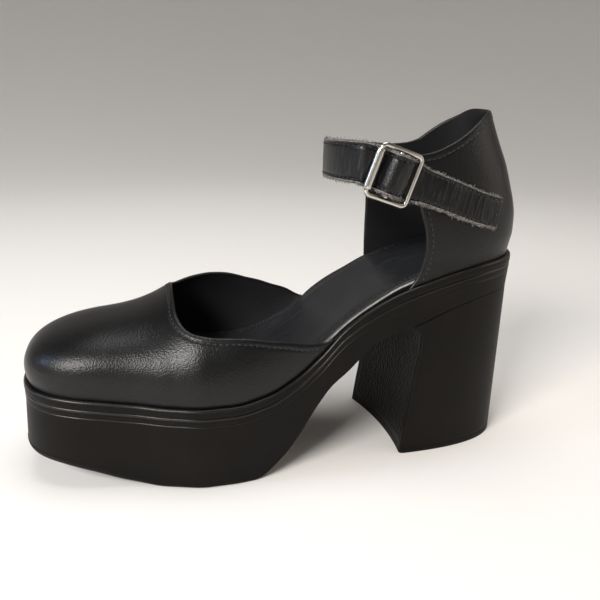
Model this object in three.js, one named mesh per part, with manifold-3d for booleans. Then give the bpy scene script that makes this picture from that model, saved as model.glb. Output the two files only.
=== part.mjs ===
import * as THREE from "three";
import { mergeVertices } from "three/addons/utils/BufferGeometryUtils.js";
import Module from "manifold-3d";

const wasm = await Module();
wasm.setup();

// Driving sizes in millimetres. +X runs to the toe, +Y to the outer side and +Z up. x is 0 at the rim's back.
const LENGTH = 243;
const BALL_WIDTH = 86;
const SEAT_WIDTH = 65.5;
const PLATFORM_HEIGHT = 41.5;
const HEEL_HEIGHT = 100.5;
const RIM_TOE_RISE = 5.5;
const TOE_SPRING = 13.2;

// The sole's rim and wall.
const RIM_STATIONS = 42;
const VAMP_FROM = 18;
const QUARTER_TO = 17;
const RIM_LIP = 2;
const RIM_RECESS = 2.5;
const BEAD_DEPTH = 4.4;
const BAND_DEPTH = 3.9;
const GROOVE = 0.5;
const WALL_DRAFT = 0.052;
const SOLE_EDGE = 4.5;
const HEEL_CAP = 66;
const TOE_CAP = 43;
const HEEL_SQUARENESS = 2.7;
const TOE_SQUARENESS = 2.6;

// The heel block.
const BREAST_AT = 56.5;
const BREAST_SWEEP = 7;
const BREAST_SKEW = 5.2;
const BREAST_HOLLOW = 3.8;
const BREAST_FILLET = 4.5;
const HEEL_FLARE = 0.55;
const TIP_THICKNESS = 2.8;
const TIP_EDGE = 0.5;

// The upper.
const UPPER_WALL = 1.8;
const VAMP_HEIGHT = 46;
const VAMP_BULGE = 2.8;
const CUT_OVER = 12;
const CUT_UNDER = 8;
const CUT_BACK = 18;
const SPINE_END = 0.842;
const QUARTER_HEIGHT = 68;
const QUARTER_HINGE = 0.3084;
const INSOLE_PAD = 5.5;
const INSOLE_EDGE = 0.8;

// The strap and its buckle.
const STRAP_WIDTH = 16.5;
const STRAP_THICKNESS = 2;
const STRAP_STEP = 4;
const TAB_WIDTH = 13;
const TAB_THICKNESS = 1.3;
const TAB_STEP = 1.7;
const TAB_SLOT = 2.6;
const BUCKLE_AT = 0.3213;
const BUCKLE_ACROSS = 0.531;
const BUCKLE_UP = 0.616;
const BUCKLE_TILT = 18.9;
const BUCKLE_WIDTH = 24.8;
const BUCKLE_LENGTH = 22;
const BUCKLE_ROD = 2.2;
const BUCKLE_CORNER = 3.2;
const BAR_DROP = 0.8;
const ROLLER_DIAMETER = 4;
const PRONG_DIAMETER = 1.5;
const STRAP_SAG = 0.85;
const STRAP_SKEW = 1.2;
const ROOT_EASE = 0.4;

// Clearances: between pieces that touch, and between the buckle's turning pieces and their bars.
const SEAM = 0.3;
const PLAY = 0.25;

// Stations along the last. Half widths are shares of half the seat's or half the ball's width, the rim's
// rise and spring are shares of its rise to the heel and to the toe, and pad is a share of the insole's pad.
const LAST = [
  { at: 0, of: "seat", outer: 1, inner: 0.985, rise: 1, spring: 0, pad: 0.62 },
  { at: 0.0903, of: "seat", outer: 1, inner: 0.985, rise: 0.971, spring: 0, pad: 0.62 },
  { at: 0.1646, of: "seat", outer: 1, inner: 0.98, rise: 0.917, spring: 0, pad: 0.62 },
  { at: 0.2678, of: "seat", outer: 1, inner: 0.97, rise: 0.792, spring: 0, pad: 0.55 },
  { at: 0.3412, of: "seat", outer: 1.03, inner: 0.962, rise: 0.656, spring: 0, pad: 0.32 },
  { at: 0.3947, of: "ball", outer: 0.807, inner: 0.74, rise: 0.51, spring: 0, pad: 0.27 },
  { at: 0.4443, of: "ball", outer: 0.842, inner: 0.763, rise: 0.302, spring: 0, pad: 0.6 },
  { at: 0.4939, of: "ball", outer: 0.898, inner: 0.805, rise: 0.147, spring: 0, pad: 0.95 },
  { at: 0.5514, of: "ball", outer: 0.963, inner: 0.874, rise: 0.041, spring: 0, pad: 1 },
  { at: 0.6169, of: "ball", outer: 1.016, inner: 0.949, rise: 0, spring: 0, pad: 1 },
  { at: 0.6665, of: "ball", outer: 1.021, inner: 0.977, rise: 0, spring: 0, pad: 1 },
  { at: 0.7329, of: "ball", outer: 0.935, inner: 0.967, rise: 0, spring: 0.04, pad: 1 },
  { at: 0.8023, of: "ball", outer: 0.814, inner: 0.916, rise: 0, spring: 0.24, pad: 1 },
  { at: 0.8638, of: "ball", outer: 0.758, inner: 0.86, rise: 0, spring: 0.53, pad: 1 },
  { at: 1, of: "ball", outer: 0.71, inner: 0.814, rise: 0, spring: 1, pad: 1 },
];

// The line under the sole: heel seat, arch, flat forefoot and toe spring. Height is a share of the heel
// height, spring of the toe spring, edge of the sole's rounded lower edge and draft of the wall's draft.
const UNDERSIDE = [
  { at: 0, height: 0.833, spring: 0, edge: 0.08, draft: 1 },
  { at: 0.0823, height: 0.818, spring: 0, edge: 0.08, draft: 1 },
  { at: 0.1646, height: 0.771, spring: 0, edge: 0.08, draft: 1 },
  { at: 0.237, height: 0.7, spring: 0, edge: 0.1, draft: 1 },
  { at: 0.2598, height: 0.68, spring: 0, edge: 0.13, draft: 1 },
  { at: 0.3045, height: 0.652, spring: 0, edge: 0.15, draft: 1 },
  { at: 0.3441, height: 0.59, spring: 0, edge: 0.15, draft: 1 },
  { at: 0.3858, height: 0.49, spring: 0, edge: 0.15, draft: 1 },
  { at: 0.4195, height: 0.423, spring: 0, edge: 0.15, draft: 1 },
  { at: 0.4513, height: 0.318, spring: 0, edge: 0.18, draft: 1 },
  { at: 0.486, height: 0.184, spring: 0, edge: 0.2, draft: 1 },
  { at: 0.5246, height: 0.075, spring: 0, edge: 0.25, draft: 1 },
  { at: 0.5723, height: 0, spring: 0, edge: 0.3, draft: 1 },
  { at: 0.7537, height: 0, spring: 0, edge: 0.4, draft: 1 },
  { at: 0.8152, height: 0, spring: 0.18, edge: 0.7, draft: 0.7 },
  { at: 0.8847, height: 0, spring: 0.61, edge: 0.95, draft: 0 },
  { at: 0.9422, height: 0, spring: 0.905, edge: 0.95, draft: -0.8 },
  { at: 1, height: 0, spring: 1, edge: 0.9, draft: -1 },
];

// The vamp's crest over the rim as a share of the vamp's height, the crest's place across as a share of the
// ball width (inner side negative), and the squareness of the section.
const CREST = [
  { at: 0.3967, height: 0.93, across: -0.045, square: 2 },
  { at: 0.4939, height: 1.165, across: -0.07, square: 2 },
  { at: 0.5762, height: 1.205, across: -0.105, square: 2 },
  { at: 0.6585, height: 1.07, across: -0.116, square: 2 },
  { at: 0.7121, height: 0.924, across: -0.095, square: 2 },
  { at: 0.7547, height: 0.794, across: -0.08, square: 2.15 },
  { at: 0.7924, height: 0.709, across: -0.06, square: 2.35 },
  { at: 0.842, height: 0.637, across: -0.046, square: 2.5 },
  { at: 1, height: 0.46, across: -0.04, square: 2.8 },
];

// The vamp's topline from the outer end round the throat to the inner end. Turn is -1 at the outer feather
// line, 0 on the crest and 1 at the inner feather line.
const TOPLINE = [
  { at: 0.4195, turn: -1 },
  { at: 0.4542, turn: -0.9 },
  { at: 0.486, turn: -0.82 },
  { at: 0.5246, turn: -0.738 },
  { at: 0.5633, turn: -0.683 },
  { at: 0.6, turn: -0.641 },
  { at: 0.6536, turn: -0.587 },
  { at: 0.6883, turn: -0.514 },
  { at: 0.7042, turn: -0.423 },
  { at: 0.7121, turn: -0.28 },
  { at: 0.7131, turn: -0.05 },
  { at: 0.7121, turn: 0.17 },
  { at: 0.7022, turn: 0.31 },
  { at: 0.6794, turn: 0.35 },
  { at: 0.6357, turn: 0.4 },
  { at: 0.603, turn: 0.453 },
  { at: 0.5584, turn: 0.536 },
  { at: 0.5246, turn: 0.606 },
  { at: 0.4909, turn: 0.7 },
  { at: 0.4552, turn: 0.81 },
  { at: 0.4146, turn: 1 },
];

// Levels of the quarter over the seat, as shares of its height: how far its back lies in from the rim, as a
// share of the seat width, and how wide the level is against the rim.
const QUARTER = [
  { up: -0.3, back: 0, wide: 1 },
  { up: 0, back: 0, wide: 1 },
  { up: 0.08, back: -0.012, wide: 1.01 },
  { up: 0.16, back: -0.026, wide: 1.015 },
  { up: 0.272, back: -0.022, wide: 1.01 },
  { up: 0.36, back: -0.006, wide: 0.995 },
  { up: 0.493, back: 0.036, wide: 0.955 },
  { up: 0.64, back: 0.09, wide: 0.915 },
  { up: 0.757, back: 0.146, wide: 0.87 },
  { up: 0.875, back: 0.2, wide: 0.82 },
  { up: 1, back: 0.25, wide: 0.75 },
  { up: 1.12, back: 0.29, wide: 0.68 },
];

// The collar's height on each side, from the back forward, as shares of the quarter's height.
const COLLAR = [
  { at: 0, outer: 1.02, inner: 1.02 },
  { at: 0.0774, outer: 1, inner: 1 },
  { at: 0.0992, outer: 0.981, inner: 0.945 },
  { at: 0.124, outer: 0.931, inner: 0.89 },
  { at: 0.1478, outer: 0.875, inner: 0.825 },
  { at: 0.1726, outer: 0.822, inner: 0.757 },
  { at: 0.1974, outer: 0.78, inner: 0.731 },
  { at: 0.2301, outer: 0.737, inner: 0.722 },
  { at: 0.2975, outer: 0.7, inner: 0.74 },
];

// The quarter's front edges: height over the seat as a share of the quarter's height, place along as shares
// of the length.
const FRONT = [
  { up: -0.4, outer: 0.2727, inner: 0.2698 },
  { up: -0.2, outer: 0.2628, inner: 0.2698 },
  { up: -0.1, outer: 0.245, inner: 0.2708 },
  { up: 0, outer: 0.236, inner: 0.2717 },
  { up: 0.1, outer: 0.2326, inner: 0.2717 },
  { up: 0.19, outer: 0.2346, inner: 0.2717 },
  { up: 0.375, outer: 0.2489, inner: 0.2737 },
  { up: 0.55, outer: 0.2618, inner: 0.2777 },
  { up: 1.2, outer: 0.2975, inner: 0.3074 },
];

// The breast's forward sweep over the heel's height, as a share of the sweep.
const BREAST = [
  { up: 0, forward: 1 },
  { up: 0.13, forward: 0.79 },
  { up: 0.24, forward: 0.58 },
  { up: 0.35, forward: 0.46 },
  { up: 0.46, forward: 0.28 },
  { up: 0.57, forward: 0.06 },
  { up: 0.65, forward: 0 },
];

// The strap's root inside the inner quarter, as shares of the length and of the quarter's height.
const STRAP_ROOT = [
  { at: 0.1835, up: 0.597 },
  { at: 0.2083, up: 0.602 },
  { at: 0.238, up: 0.608 },
];

// The strap's loop between the inner quarter and the buckle: place along as a share of the length, across as
// a share of the seat width, and the height of its middle over the seat as a share of the quarter's height.
const STRAP_LOOP = [
  { at: 0.2737, across: -0.342, up: 0.612 },
  { at: 0.3094, across: -0.356, up: 0.618 },
  { at: 0.3471, across: -0.325, up: 0.63 },
  { at: 0.3808, across: -0.22, up: 0.643 },
  { at: 0.4017, across: -0.08, up: 0.652 },
  { at: 0.4096, across: 0.1, up: 0.657 },
  { at: 0.4056, across: 0.28, up: 0.658 },
  { at: 0.3917, across: 0.41, up: 0.652 },
];

// The strap through the buckle, in its own directions: along in shares of the buckle's length from its
// middle bar to the heel, and out in shares of the strap's thickness.
const STRAP_IN_BUCKLE = [
  { along: -0.63, out: -1.5 },
  { along: -0.45, out: -1.66 },
  { along: -0.34, out: -1.55 },
  { along: -0.25, out: -0.95 },
  { along: -0.2, out: -0.1 },
  { along: -0.158, out: 0.85 },
  { along: -0.088, out: 1.5 },
  { along: 0, out: 1.72 },
  { along: 0.088, out: 1.55 },
  { along: 0.165, out: 1.15 },
  { along: 0.235, out: 0.55 },
  { along: 0.3, out: -0.15 },
  { along: 0.355, out: -0.9 },
  { along: 0.43, out: -1.4 },
  { along: 0.6, out: -1.5 },
];

// The strap's tail on the outer quarter: place along as a share of the length, height of its middle over the
// seat as a share of the quarter's height, and its distance from the quarter in strap thicknesses.
const STRAP_TAIL = [
  { at: 0.2539, up: 0.513, off: 1.55 },
  { at: 0.238, up: 0.493, off: 1.5 },
  { at: 0.2083, up: 0.457, off: 1.5 },
  { at: 0.1865, up: 0.437, off: 1.15 },
  { at: 0.1636, up: 0.41, off: 0.8 },
  { at: 0.1289, up: 0.369, off: 0.7 },
  { at: 0.0853, up: 0.328, off: 0.7 },
];

// The tab's root on the outer quarter, as shares of the length and of the quarter's height.
const TAB_ROOT = [
  { at: 0.2063, up: 0.448 },
  { at: 0.2301, up: 0.475 },
  { at: 0.2519, up: 0.501 },
];

// The tab's loop round the middle bar, from its lower layer to its upper one: along in shares of the
// buckle's length, out in shares of the tab's thickness.
const TAB_LOOP = [
  { along: 0.6, out: -3.95 },
  { along: 0.42, out: -3.85 },
  { along: 0.2, out: -2.7 },
  { along: 0.045, out: -2.27 },
  { along: -0.069, out: -1.8 },
  { along: -0.1, out: -0.62 },
  { along: -0.069, out: 0.56 },
  { along: 0, out: 1.04 },
  { along: 0.055, out: 0.82 },
  { along: 0.12, out: 0.12 },
  { along: 0.168, out: -0.48 },
];

const FEATHER_INSET = RIM_LIP + SEAM;
const INSOLE_INSET = FEATHER_INSET + UPPER_WALL + SEAM;
const HEEL_CENTRE = (BREAST_AT + BREAST_SWEEP) / 2;
const ROLLER_LENGTH = BUCKLE_WIDTH - 2 * BUCKLE_CORNER - SEAM;

// A smooth curve through one column of a table that never overshoots its rows.
function column(rows, read, key = "at") {
  const x = rows.map((row) => row[key]);
  const y = rows.map(read);
  const last = x.length - 1;
  const slope = x.slice(1).map((end, i) => (y[i + 1] - y[i]) / (end - x[i]));
  const tangent = x.map((_, i) => {
    const before = slope[Math.max(i - 1, 0)];
    const after = slope[Math.min(i, last - 1)];
    return before * after <= 0 ? 0 : (2 * before * after) / (before + after);
  });
  return (at) => {
    if (at <= x[0]) return y[0];
    if (at >= x[last]) return y[last];
    const i = x.findIndex((_, k) => at <= x[k + 1]);
    const h = x[i + 1] - x[i];
    const s = (at - x[i]) / h;
    return (
      y[i] * (1 + 2 * s) * (1 - s) ** 2 +
      h * tangent[i] * s * (1 - s) ** 2 +
      y[i + 1] * s ** 2 * (3 - 2 * s) +
      h * tangent[i + 1] * s ** 2 * (s - 1)
    );
  };
}

const HALF = { seat: SEAT_WIDTH / 2, ball: BALL_WIDTH / 2 };
const outerHalf = column(LAST, (row) => row.outer * HALF[row.of]);
const innerHalf = column(LAST, (row) => row.inner * HALF[row.of]);
const rise = column(LAST, (row) => row.rise);
const spring = column(LAST, (row) => row.spring);
const pad = column(LAST, (row) => row.pad);
const underHeight = column(UNDERSIDE, (row) => row.height);
const underSpring = column(UNDERSIDE, (row) => row.spring);
const underEdge = column(UNDERSIDE, (row) => row.edge);
const underDraft = column(UNDERSIDE, (row) => row.draft);
const crestHeight = column(CREST, (row) => row.height);
const crestAcross = column(CREST, (row) => row.across);
const squareness = column(CREST, (row) => row.square);
const quarterBack = column(QUARTER, (row) => row.back, "up");
const quarterWide = column(QUARTER, (row) => row.wide, "up");
const collarOuter = column(COLLAR, (row) => row.outer);
const collarInner = column(COLLAR, (row) => row.inner);
const frontOuter = column(FRONT, (row) => row.outer, "up");
const frontInner = column(FRONT, (row) => row.inner, "up");
const breastForward = column(BREAST, (row) => row.forward, "up");

const rimZ = (x) =>
  PLATFORM_HEIGHT + rise(x / LENGTH) * (HEEL_HEIGHT - PLATFORM_HEIGHT) + spring(x / LENGTH) * RIM_TOE_RISE;
const bedZ = (x) => rimZ(x) - RIM_RECESS;
const underZ = (x) => underHeight(x / LENGTH) * HEEL_HEIGHT + underSpring(x / LENGTH) * TOE_SPRING;
const insoleZ = (x) => rimZ(x) + pad(x / LENGTH) * INSOLE_PAD;
const levelZ = (up) => HEEL_HEIGHT + up * QUARTER_HEIGHT;
const levelUp = (z) => (z - HEEL_HEIGHT) / QUARTER_HEIGHT;

// The rim's outline from above. A turn runs from 0 at the back to PI at the toe, and side is 1 for the outer
// side and -1 for the inner one. Heel and toe are closed by squared ellipses.
const alongOf = (turn) => (LENGTH * (1 - Math.cos(turn))) / 2;
const turnOf = (x) => Math.acos(1 - (2 * x) / LENGTH);
const capped = (share, square) => Math.max(0, 1 - Math.max(0, share) ** square) ** (1 / square);

function rimPoint(turn, side) {
  if (turn < 0) return rimPoint(-turn, -side);
  if (turn > Math.PI) return rimPoint(2 * Math.PI - turn, -side);
  const x = alongOf(turn);
  const outer = outerHalf(x / LENGTH);
  const inner = innerHalf(x / LENGTH);
  const heel = capped((HEEL_CAP - x) / HEEL_CAP, HEEL_SQUARENESS);
  const toe = capped((x - LENGTH + TOE_CAP) / TOE_CAP, TOE_SQUARENESS);
  return new THREE.Vector2(x, (outer - inner + side * (outer + inner) * heel * toe) / 2);
}

function rimNormal(turn, side) {
  const step = 0.02;
  const run = rimPoint(turn + step, side).sub(rimPoint(turn - step, side));
  return new THREE.Vector2(-run.y, run.x).multiplyScalar(side).normalize();
}

const rimInset = (turn, side, inset) =>
  rimPoint(turn, side).addScaledVector(rimNormal(turn, side), -inset);

const steps = (from, to, count) =>
  Array.from({ length: count + 1 }, (_, i) => from + ((to - from) * i) / count);

// The shared stations round the rim, so that pieces that follow it keep their clearance.
const stations = (first, last) =>
  steps(first, last, last - first).map((station) => (station * Math.PI) / RIM_STATIONS);

// A loop of points over turns that start at a middle: up the outer side and down the inner one.
function loopOf(turns, pointAt) {
  const last = turns.length - 1;
  const inner = turns.slice(1, turns[last] < Math.PI ? last + 1 : last);
  return [...turns.map((turn) => pointAt(turn, 1)), ...inner.reverse().map((turn) => pointAt(turn, -1))];
}

// Turns corners, three to a triangle, into a solid with its faces outwards.
function solidOf(corners) {
  const merged = mergeVertices(new THREE.BufferGeometry().setFromPoints(corners), 1e-4);
  const index = Array.from(merged.index.array);
  const build = (order) => {
    const triangles = [];
    for (let i = 0; i < index.length; i += 3) {
      const [a, b, c] = order.map((k) => index[i + k]);
      if (a !== b && b !== c && a !== c) triangles.push(a, b, c);
    }
    return new wasm.Manifold(
      new wasm.Mesh({
        numProp: 3,
        vertProperties: merged.attributes.position.array,
        triVerts: new Uint32Array(triangles),
      }),
    );
  };
  const solid = build([0, 1, 2]);
  return solid.volume() > 0 ? solid : build([0, 2, 1]);
}

const quad = (a, b, c, d) => [a, b, c, a, c, d];

// Walls between neighbouring rings, with covers from side to side over the first and the last one.
function stack(rings) {
  const count = rings[0].length;
  const corners = [];
  rings.slice(1).forEach((high, r) => {
    const low = rings[r];
    low.forEach((_, i) => {
      const j = (i + 1) % count;
      corners.push(...quad(low[i], low[j], high[j], high[i]));
    });
  });
  for (let k = 0; k < Math.floor(count / 2); k++) {
    for (const [ring, order] of [
      [rings[0], [1, 0, 3, 2]],
      [rings[rings.length - 1], [0, 1, 2, 3]],
    ]) {
      const cell = [ring[k], ring[k + 1], ring[count - k - 1], ring[(count - k) % count]];
      corners.push(...quad(...order.map((i) => cell[i])));
    }
  }
  return solidOf(corners);
}

// A block over a grid of a and b, between two heights that may vary with both.
function slab(as, bs, low, high, place) {
  const n = as.length - 1;
  const m = bs.length - 1;
  const corners = [];
  const at = (i, j, height) => place(as[i], bs[j], height(as[i], bs[j]));
  const wall = (i, j, k, l) =>
    corners.push(...quad(at(i, j, low), at(k, l, low), at(k, l, high), at(i, j, high)));
  for (let i = 0; i < n; i++) {
    for (let j = 0; j < m; j++) {
      const cell = [
        [i, j],
        [i, j + 1],
        [i + 1, j + 1],
        [i + 1, j],
      ];
      corners.push(...quad(...cell.map(([k, l]) => at(k, l, low))));
      corners.push(...quad(...cell.reverse().map(([k, l]) => at(k, l, high))));
    }
    wall(i, 0, i + 1, 0);
    wall(i + 1, m, i, m);
  }
  for (let j = 0; j < m; j++) {
    wall(0, j + 1, 0, j);
    wall(n, j, n, j + 1);
  }
  return solidOf(corners);
}

// A section swept along frames, each with its middle and its across and out directions.
function sweep(frames, section, closed = false) {
  const rings = frames.map(({ at, across, out }) =>
    section.map(([a, o]) => at.clone().addScaledVector(across, a).addScaledVector(out, o)),
  );
  const corners = [];
  const last = rings.length - 1;
  rings.slice(0, closed ? rings.length : last).forEach((low, r) => {
    const high = rings[(r + 1) % rings.length];
    low.forEach((_, i) => {
      const j = (i + 1) % low.length;
      corners.push(...quad(low[i], low[j], high[j], high[i]));
    });
  });
  for (let i = 1; !closed && i + 1 < section.length; i++) {
    corners.push(rings[0][0], rings[0][i + 1], rings[0][i]);
    corners.push(rings[last][0], rings[last][i], rings[last][i + 1]);
  }
  return solidOf(corners);
}

// A flat band's section with eased edges, and a rod's.
function bandSection(width, thickness) {
  const w = width / 2;
  const t = thickness / 2;
  const ease = thickness / 4;
  const edge = [
    [w - ease, -t],
    [w, ease - t],
    [w, t - ease],
    [w - ease, t],
  ];
  return [...edge, ...edge.map(([a, o]) => [-a, -o])];
}

const rodSection = (diameter, sides = 8) =>
  steps(0.5, sides - 0.5, sides - 1).map((i) => [
    (Math.cos((i * 2 * Math.PI) / sides) * diameter) / 2,
    (Math.sin((i * 2 * Math.PI) / sides) * diameter) / 2,
  ]);

// Frames along a smooth line through keys, each key with its place and its out direction.
function framesAlong(keys, spacing) {
  const curve = new THREE.CatmullRomCurve3(keys.map((key) => key.at), false, "centripetal");
  const shares = keys.slice(1).flatMap((key, i) => {
    const count = Math.max(1, Math.round(key.at.distanceTo(keys[i].at) / spacing));
    return steps(i, i + 1, count).slice(0, -1);
  });
  return [...shares, keys.length - 1].map((share) => {
    const u = share / (keys.length - 1);
    const i = Math.min(Math.floor(share), keys.length - 2);
    const tangent = curve.getTangent(u);
    const out = keys[i].out.clone().lerp(keys[i + 1].out, share - i);
    out.addScaledVector(tangent, -out.dot(tangent)).normalize();
    return { at: curve.getPoint(u), out, across: tangent.clone().cross(out) };
  });
}

const largest = (solid) =>
  solid.decompose().reduce((best, body) => (body.volume() > best.volume() ? body : best));

// Sole: platform, waist and heel seat in one, with a recess for insole and upper inside its lip.
function makeSole() {
  const band = BEAD_DEPTH + BAND_DEPTH;
  const face = [
    { down: 0, inset: RIM_LIP - SEAM },
    { down: 0, inset: 0.9 },
    { down: 0.4, inset: 0.25 },
    { down: 1.3, inset: 0 },
    { down: BEAD_DEPTH - 0.5, inset: 0 },
    { down: BEAD_DEPTH, inset: GROOVE },
    { down: BEAD_DEPTH + 0.5, inset: 0.15 },
    { down: band - 0.4, inset: 0.2 },
    { down: band, inset: GROOVE },
    { down: band + 0.5, inset: 0.3 },
  ];
  const wallInset = (x, z) => 0.3 + Math.max(0, rimZ(x) - band - z) * WALL_DRAFT * underDraft(x / LENGTH);
  const ring = (zAt, insetAt) =>
    loopOf(stations(0, RIM_STATIONS), (turn, side) => {
      const x = alongOf(turn);
      const flat = rimInset(turn, side, insetAt(x));
      return new THREE.Vector3(flat.x, flat.y, zAt(x));
    });
  const middle = (x) => (rimZ(x) - band + underZ(x)) / 2;
  const edge = (x) => underEdge(x / LENGTH) * SOLE_EDGE;
  const lower = (up, inset) =>
    ring(
      (x) => underZ(x) + edge(x) * up,
      (x) => wallInset(x, underZ(x)) + edge(x) * inset,
    );
  return stack([
    ring(bedZ, () => RIM_LIP),
    ring((x) => rimZ(x) - SEAM, () => RIM_LIP),
    ...face.map((row) => ring((x) => rimZ(x) - row.down, () => row.inset)),
    ring(middle, (x) => wallInset(x, middle(x))),
    lower(1, 0),
    lower(0.3, 0.3),
    lower(0, 1),
  ]);
}

// Heel: the block between two levels, with its breast and, where it reaches that high, the sole's line cut.
function makeHeel(levels) {
  const wallInset = (z) => 0.74 - HEEL_FLARE * (1 - z / underZ(0));
  const breastX = (z, y) => {
    const across = y / SEAT_WIDTH;
    const fillet = Math.min(BREAST_FILLET, Math.max(0, z - underZ(BREAST_AT) + BREAST_FILLET));
    return (
      BREAST_AT +
      BREAST_SWEEP * breastForward(z / HEEL_HEIGHT) +
      BREAST_SKEW * (0.5 - across) -
      BREAST_HOLLOW * (1 - 4 * across ** 2) +
      (BREAST_FILLET - Math.sqrt(BREAST_FILLET ** 2 - fillet ** 2)) * 0.9
    );
  };
  const block = stack(
    levels.map(({ z, inset }) =>
      loopOf(steps(0, turnOf(HEEL_CAP * 1.3), 18), (turn, side) => {
        const flat = rimInset(turn, side, wallInset(z) + inset);
        return new THREE.Vector3(flat.x, flat.y, z);
      }),
    ),
  );
  const shares = [1.45, 0.95, 0.5, 0.2, -0.3];
  const rounding = shares.map((share) => underZ(BREAST_AT) - share * BREAST_FILLET);
  const breast = slab(
    [...steps(-0.06, 0.6, 10).map((up) => up * HEEL_HEIGHT), ...rounding, HEEL_HEIGHT * 0.95],
    steps(-SEAT_WIDTH * 0.6, SEAT_WIDTH * 0.6, 10),
    breastX,
    () => LENGTH / 2,
    (z, y, x) => new THREE.Vector3(x, y, z),
  );
  const sole = slab(
    steps(-10, LENGTH / 2, 40),
    [-SEAT_WIDTH, SEAT_WIDTH],
    (x) => underZ(x) - SEAM,
    () => HEEL_HEIGHT * 1.1,
    (x, y, z) => new THREE.Vector3(x, y, z),
  );
  return block.subtract(breast).subtract(sole);
}

// Insole: the padded bed over the sole's recess, inside the upper.
function makeInsole() {
  const ring = (zAt, inset) =>
    loopOf(stations(0, RIM_STATIONS), (turn, side) => {
      const x = alongOf(turn);
      const flat = rimInset(turn, side, INSOLE_INSET + inset);
      return new THREE.Vector3(flat.x, flat.y, zAt(x));
    });
  return stack([
    ring((x) => bedZ(x) + SEAM, 0),
    ring((x) => insoleZ(x) - INSOLE_EDGE, 0),
    ring((x) => insoleZ(x) - INSOLE_EDGE * 0.3, INSOLE_EDGE * 0.3),
    ring(insoleZ, INSOLE_EDGE),
  ]);
}

// The vamp's surface: lift runs from 0 at the feather line to PI / 2 on the crest, and the sections past the
// spine's end fan round the toe.
function vampPoint(turn, side, lift, inset = 0) {
  const x = alongOf(turn);
  const spineX = Math.min(x, SPINE_END * LENGTH);
  const spine = new THREE.Vector2(spineX, crestAcross(spineX / LENGTH) * BALL_WIDTH);
  const power = 2 / squareness(x / LENGTH);
  const flat = rimInset(turn, side, FEATHER_INSET + inset).lerp(spine, 1 - Math.cos(lift) ** power);
  flat.addScaledVector(rimNormal(turn, side), VAMP_BULGE * Math.max(0, Math.sin(2 * lift)) ** 0.6);
  const top = rimZ(flat.x) + crestHeight(flat.x / LENGTH) * VAMP_HEIGHT - inset;
  return new THREE.Vector3(flat.x, flat.y, rimZ(x) + (top - rimZ(x)) * Math.sin(lift) ** power);
}

function vampBody(first, inset, drop) {
  const shares = [1, 0.9, 0.78, 0.66, 0.54, 0.42, 0.31, 0.21, 0.12, 0.05, 0];
  const lifts = shares.map((share) => (share * Math.PI) / 2);
  const half = (turn, side) => {
    const points = lifts.map((lift) => vampPoint(turn, side, lift, inset));
    const foot = points[points.length - 1].clone();
    foot.z = bedZ(alongOf(turn)) + SEAM - drop;
    return [...points, foot];
  };
  return stack(
    stations(first, RIM_STATIONS).map((turn) => [...half(turn, 1), ...half(turn, -1).slice(1).reverse()]),
  );
}

function vampNormal(turn, side, lift) {
  const step = 0.01;
  const ahead = vampPoint(turn + step, side, lift).sub(vampPoint(turn - step, side, lift));
  const up = vampPoint(turn, side, lift + step).sub(vampPoint(turn, side, lift - step));
  return ahead.cross(up).multiplyScalar(-side).normalize();
}

// Everything of the vamp's surface behind and above its topline.
function toplineCutter() {
  const rows = TOPLINE.map((row, order) => ({ ...row, order }));
  const alongAt = column(rows, (row) => row.at, "order");
  const turnAt = column(rows, (row) => row.turn, "order");
  const edge = steps(0, rows.length - 1, 2 * (rows.length - 1)).map((order) => {
    const turn = turnOf(alongAt(order) * LENGTH);
    const side = turnAt(order) < 0 ? 1 : -1;
    const lift = Math.max(0.02, ((1 - Math.abs(turnAt(order))) * Math.PI) / 2);
    const point = vampPoint(turn, side, lift);
    const normal = vampNormal(turn, side, lift);
    return [CUT_OVER, -CUT_UNDER].map((off) => point.clone().addScaledVector(normal, off));
  });
  const last = edge[edge.length - 1];
  const behind = (pair, back) =>
    pair.map((point) => point.clone().add(new THREE.Vector3(-back, 0, -CUT_UNDER)));
  const start = [behind(edge[0], CUT_BACK), behind(edge[0], 0)];
  const loop = [...start, ...edge, behind(last, 0), behind(last, CUT_BACK)];
  const over = new THREE.Vector3(LENGTH * 0.46, 0, HEEL_HEIGHT * 1.6);
  const under = new THREE.Vector3(LENGTH * 0.46, 0, HEEL_HEIGHT * 0.72);
  const corners = loop.flatMap(([a, b], i) => {
    const [c, d] = loop[(i + 1) % loop.length];
    return [...quad(a, c, d, b), c, a, over, b, d, under];
  });
  return solidOf(corners);
}

const makeVamp = () =>
  largest(
    vampBody(VAMP_FROM, 0, 0)
      .subtract(vampBody(VAMP_FROM - 1, UPPER_WALL, RIM_RECESS * 2))
      .subtract(toplineCutter()),
  );

// The quarter's surface: the rim's outline, leaned and narrowed level by level about a fixed line in front.
function quarterPoint(turn, side, z, inset = 0) {
  const hinge = QUARTER_HINGE * LENGTH;
  const map = (at) => {
    const rim = rimInset(at, side, FEATHER_INSET);
    const back = FEATHER_INSET + quarterBack(levelUp(z)) * SEAT_WIDTH;
    const x = back + ((rim.x - FEATHER_INSET) * (hinge - back)) / (hinge - FEATHER_INSET);
    return new THREE.Vector2(x, rim.y * quarterWide(levelUp(z)));
  };
  const step = 0.02;
  const run = map(turn + step).sub(map(turn - step));
  const normal = new THREE.Vector2(-run.y, run.x).multiplyScalar(side).normalize();
  const flat = map(turn).addScaledVector(normal, -inset);
  return new THREE.Vector3(flat.x, flat.y, z);
}

function quarterBody(levels, last, inset) {
  return stack(
    levels.map((up) => {
      const z = levelZ(up);
      return loopOf(stations(0, last), (turn, side) => quarterPoint(turn, side, z, inset));
    }),
  );
}

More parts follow.
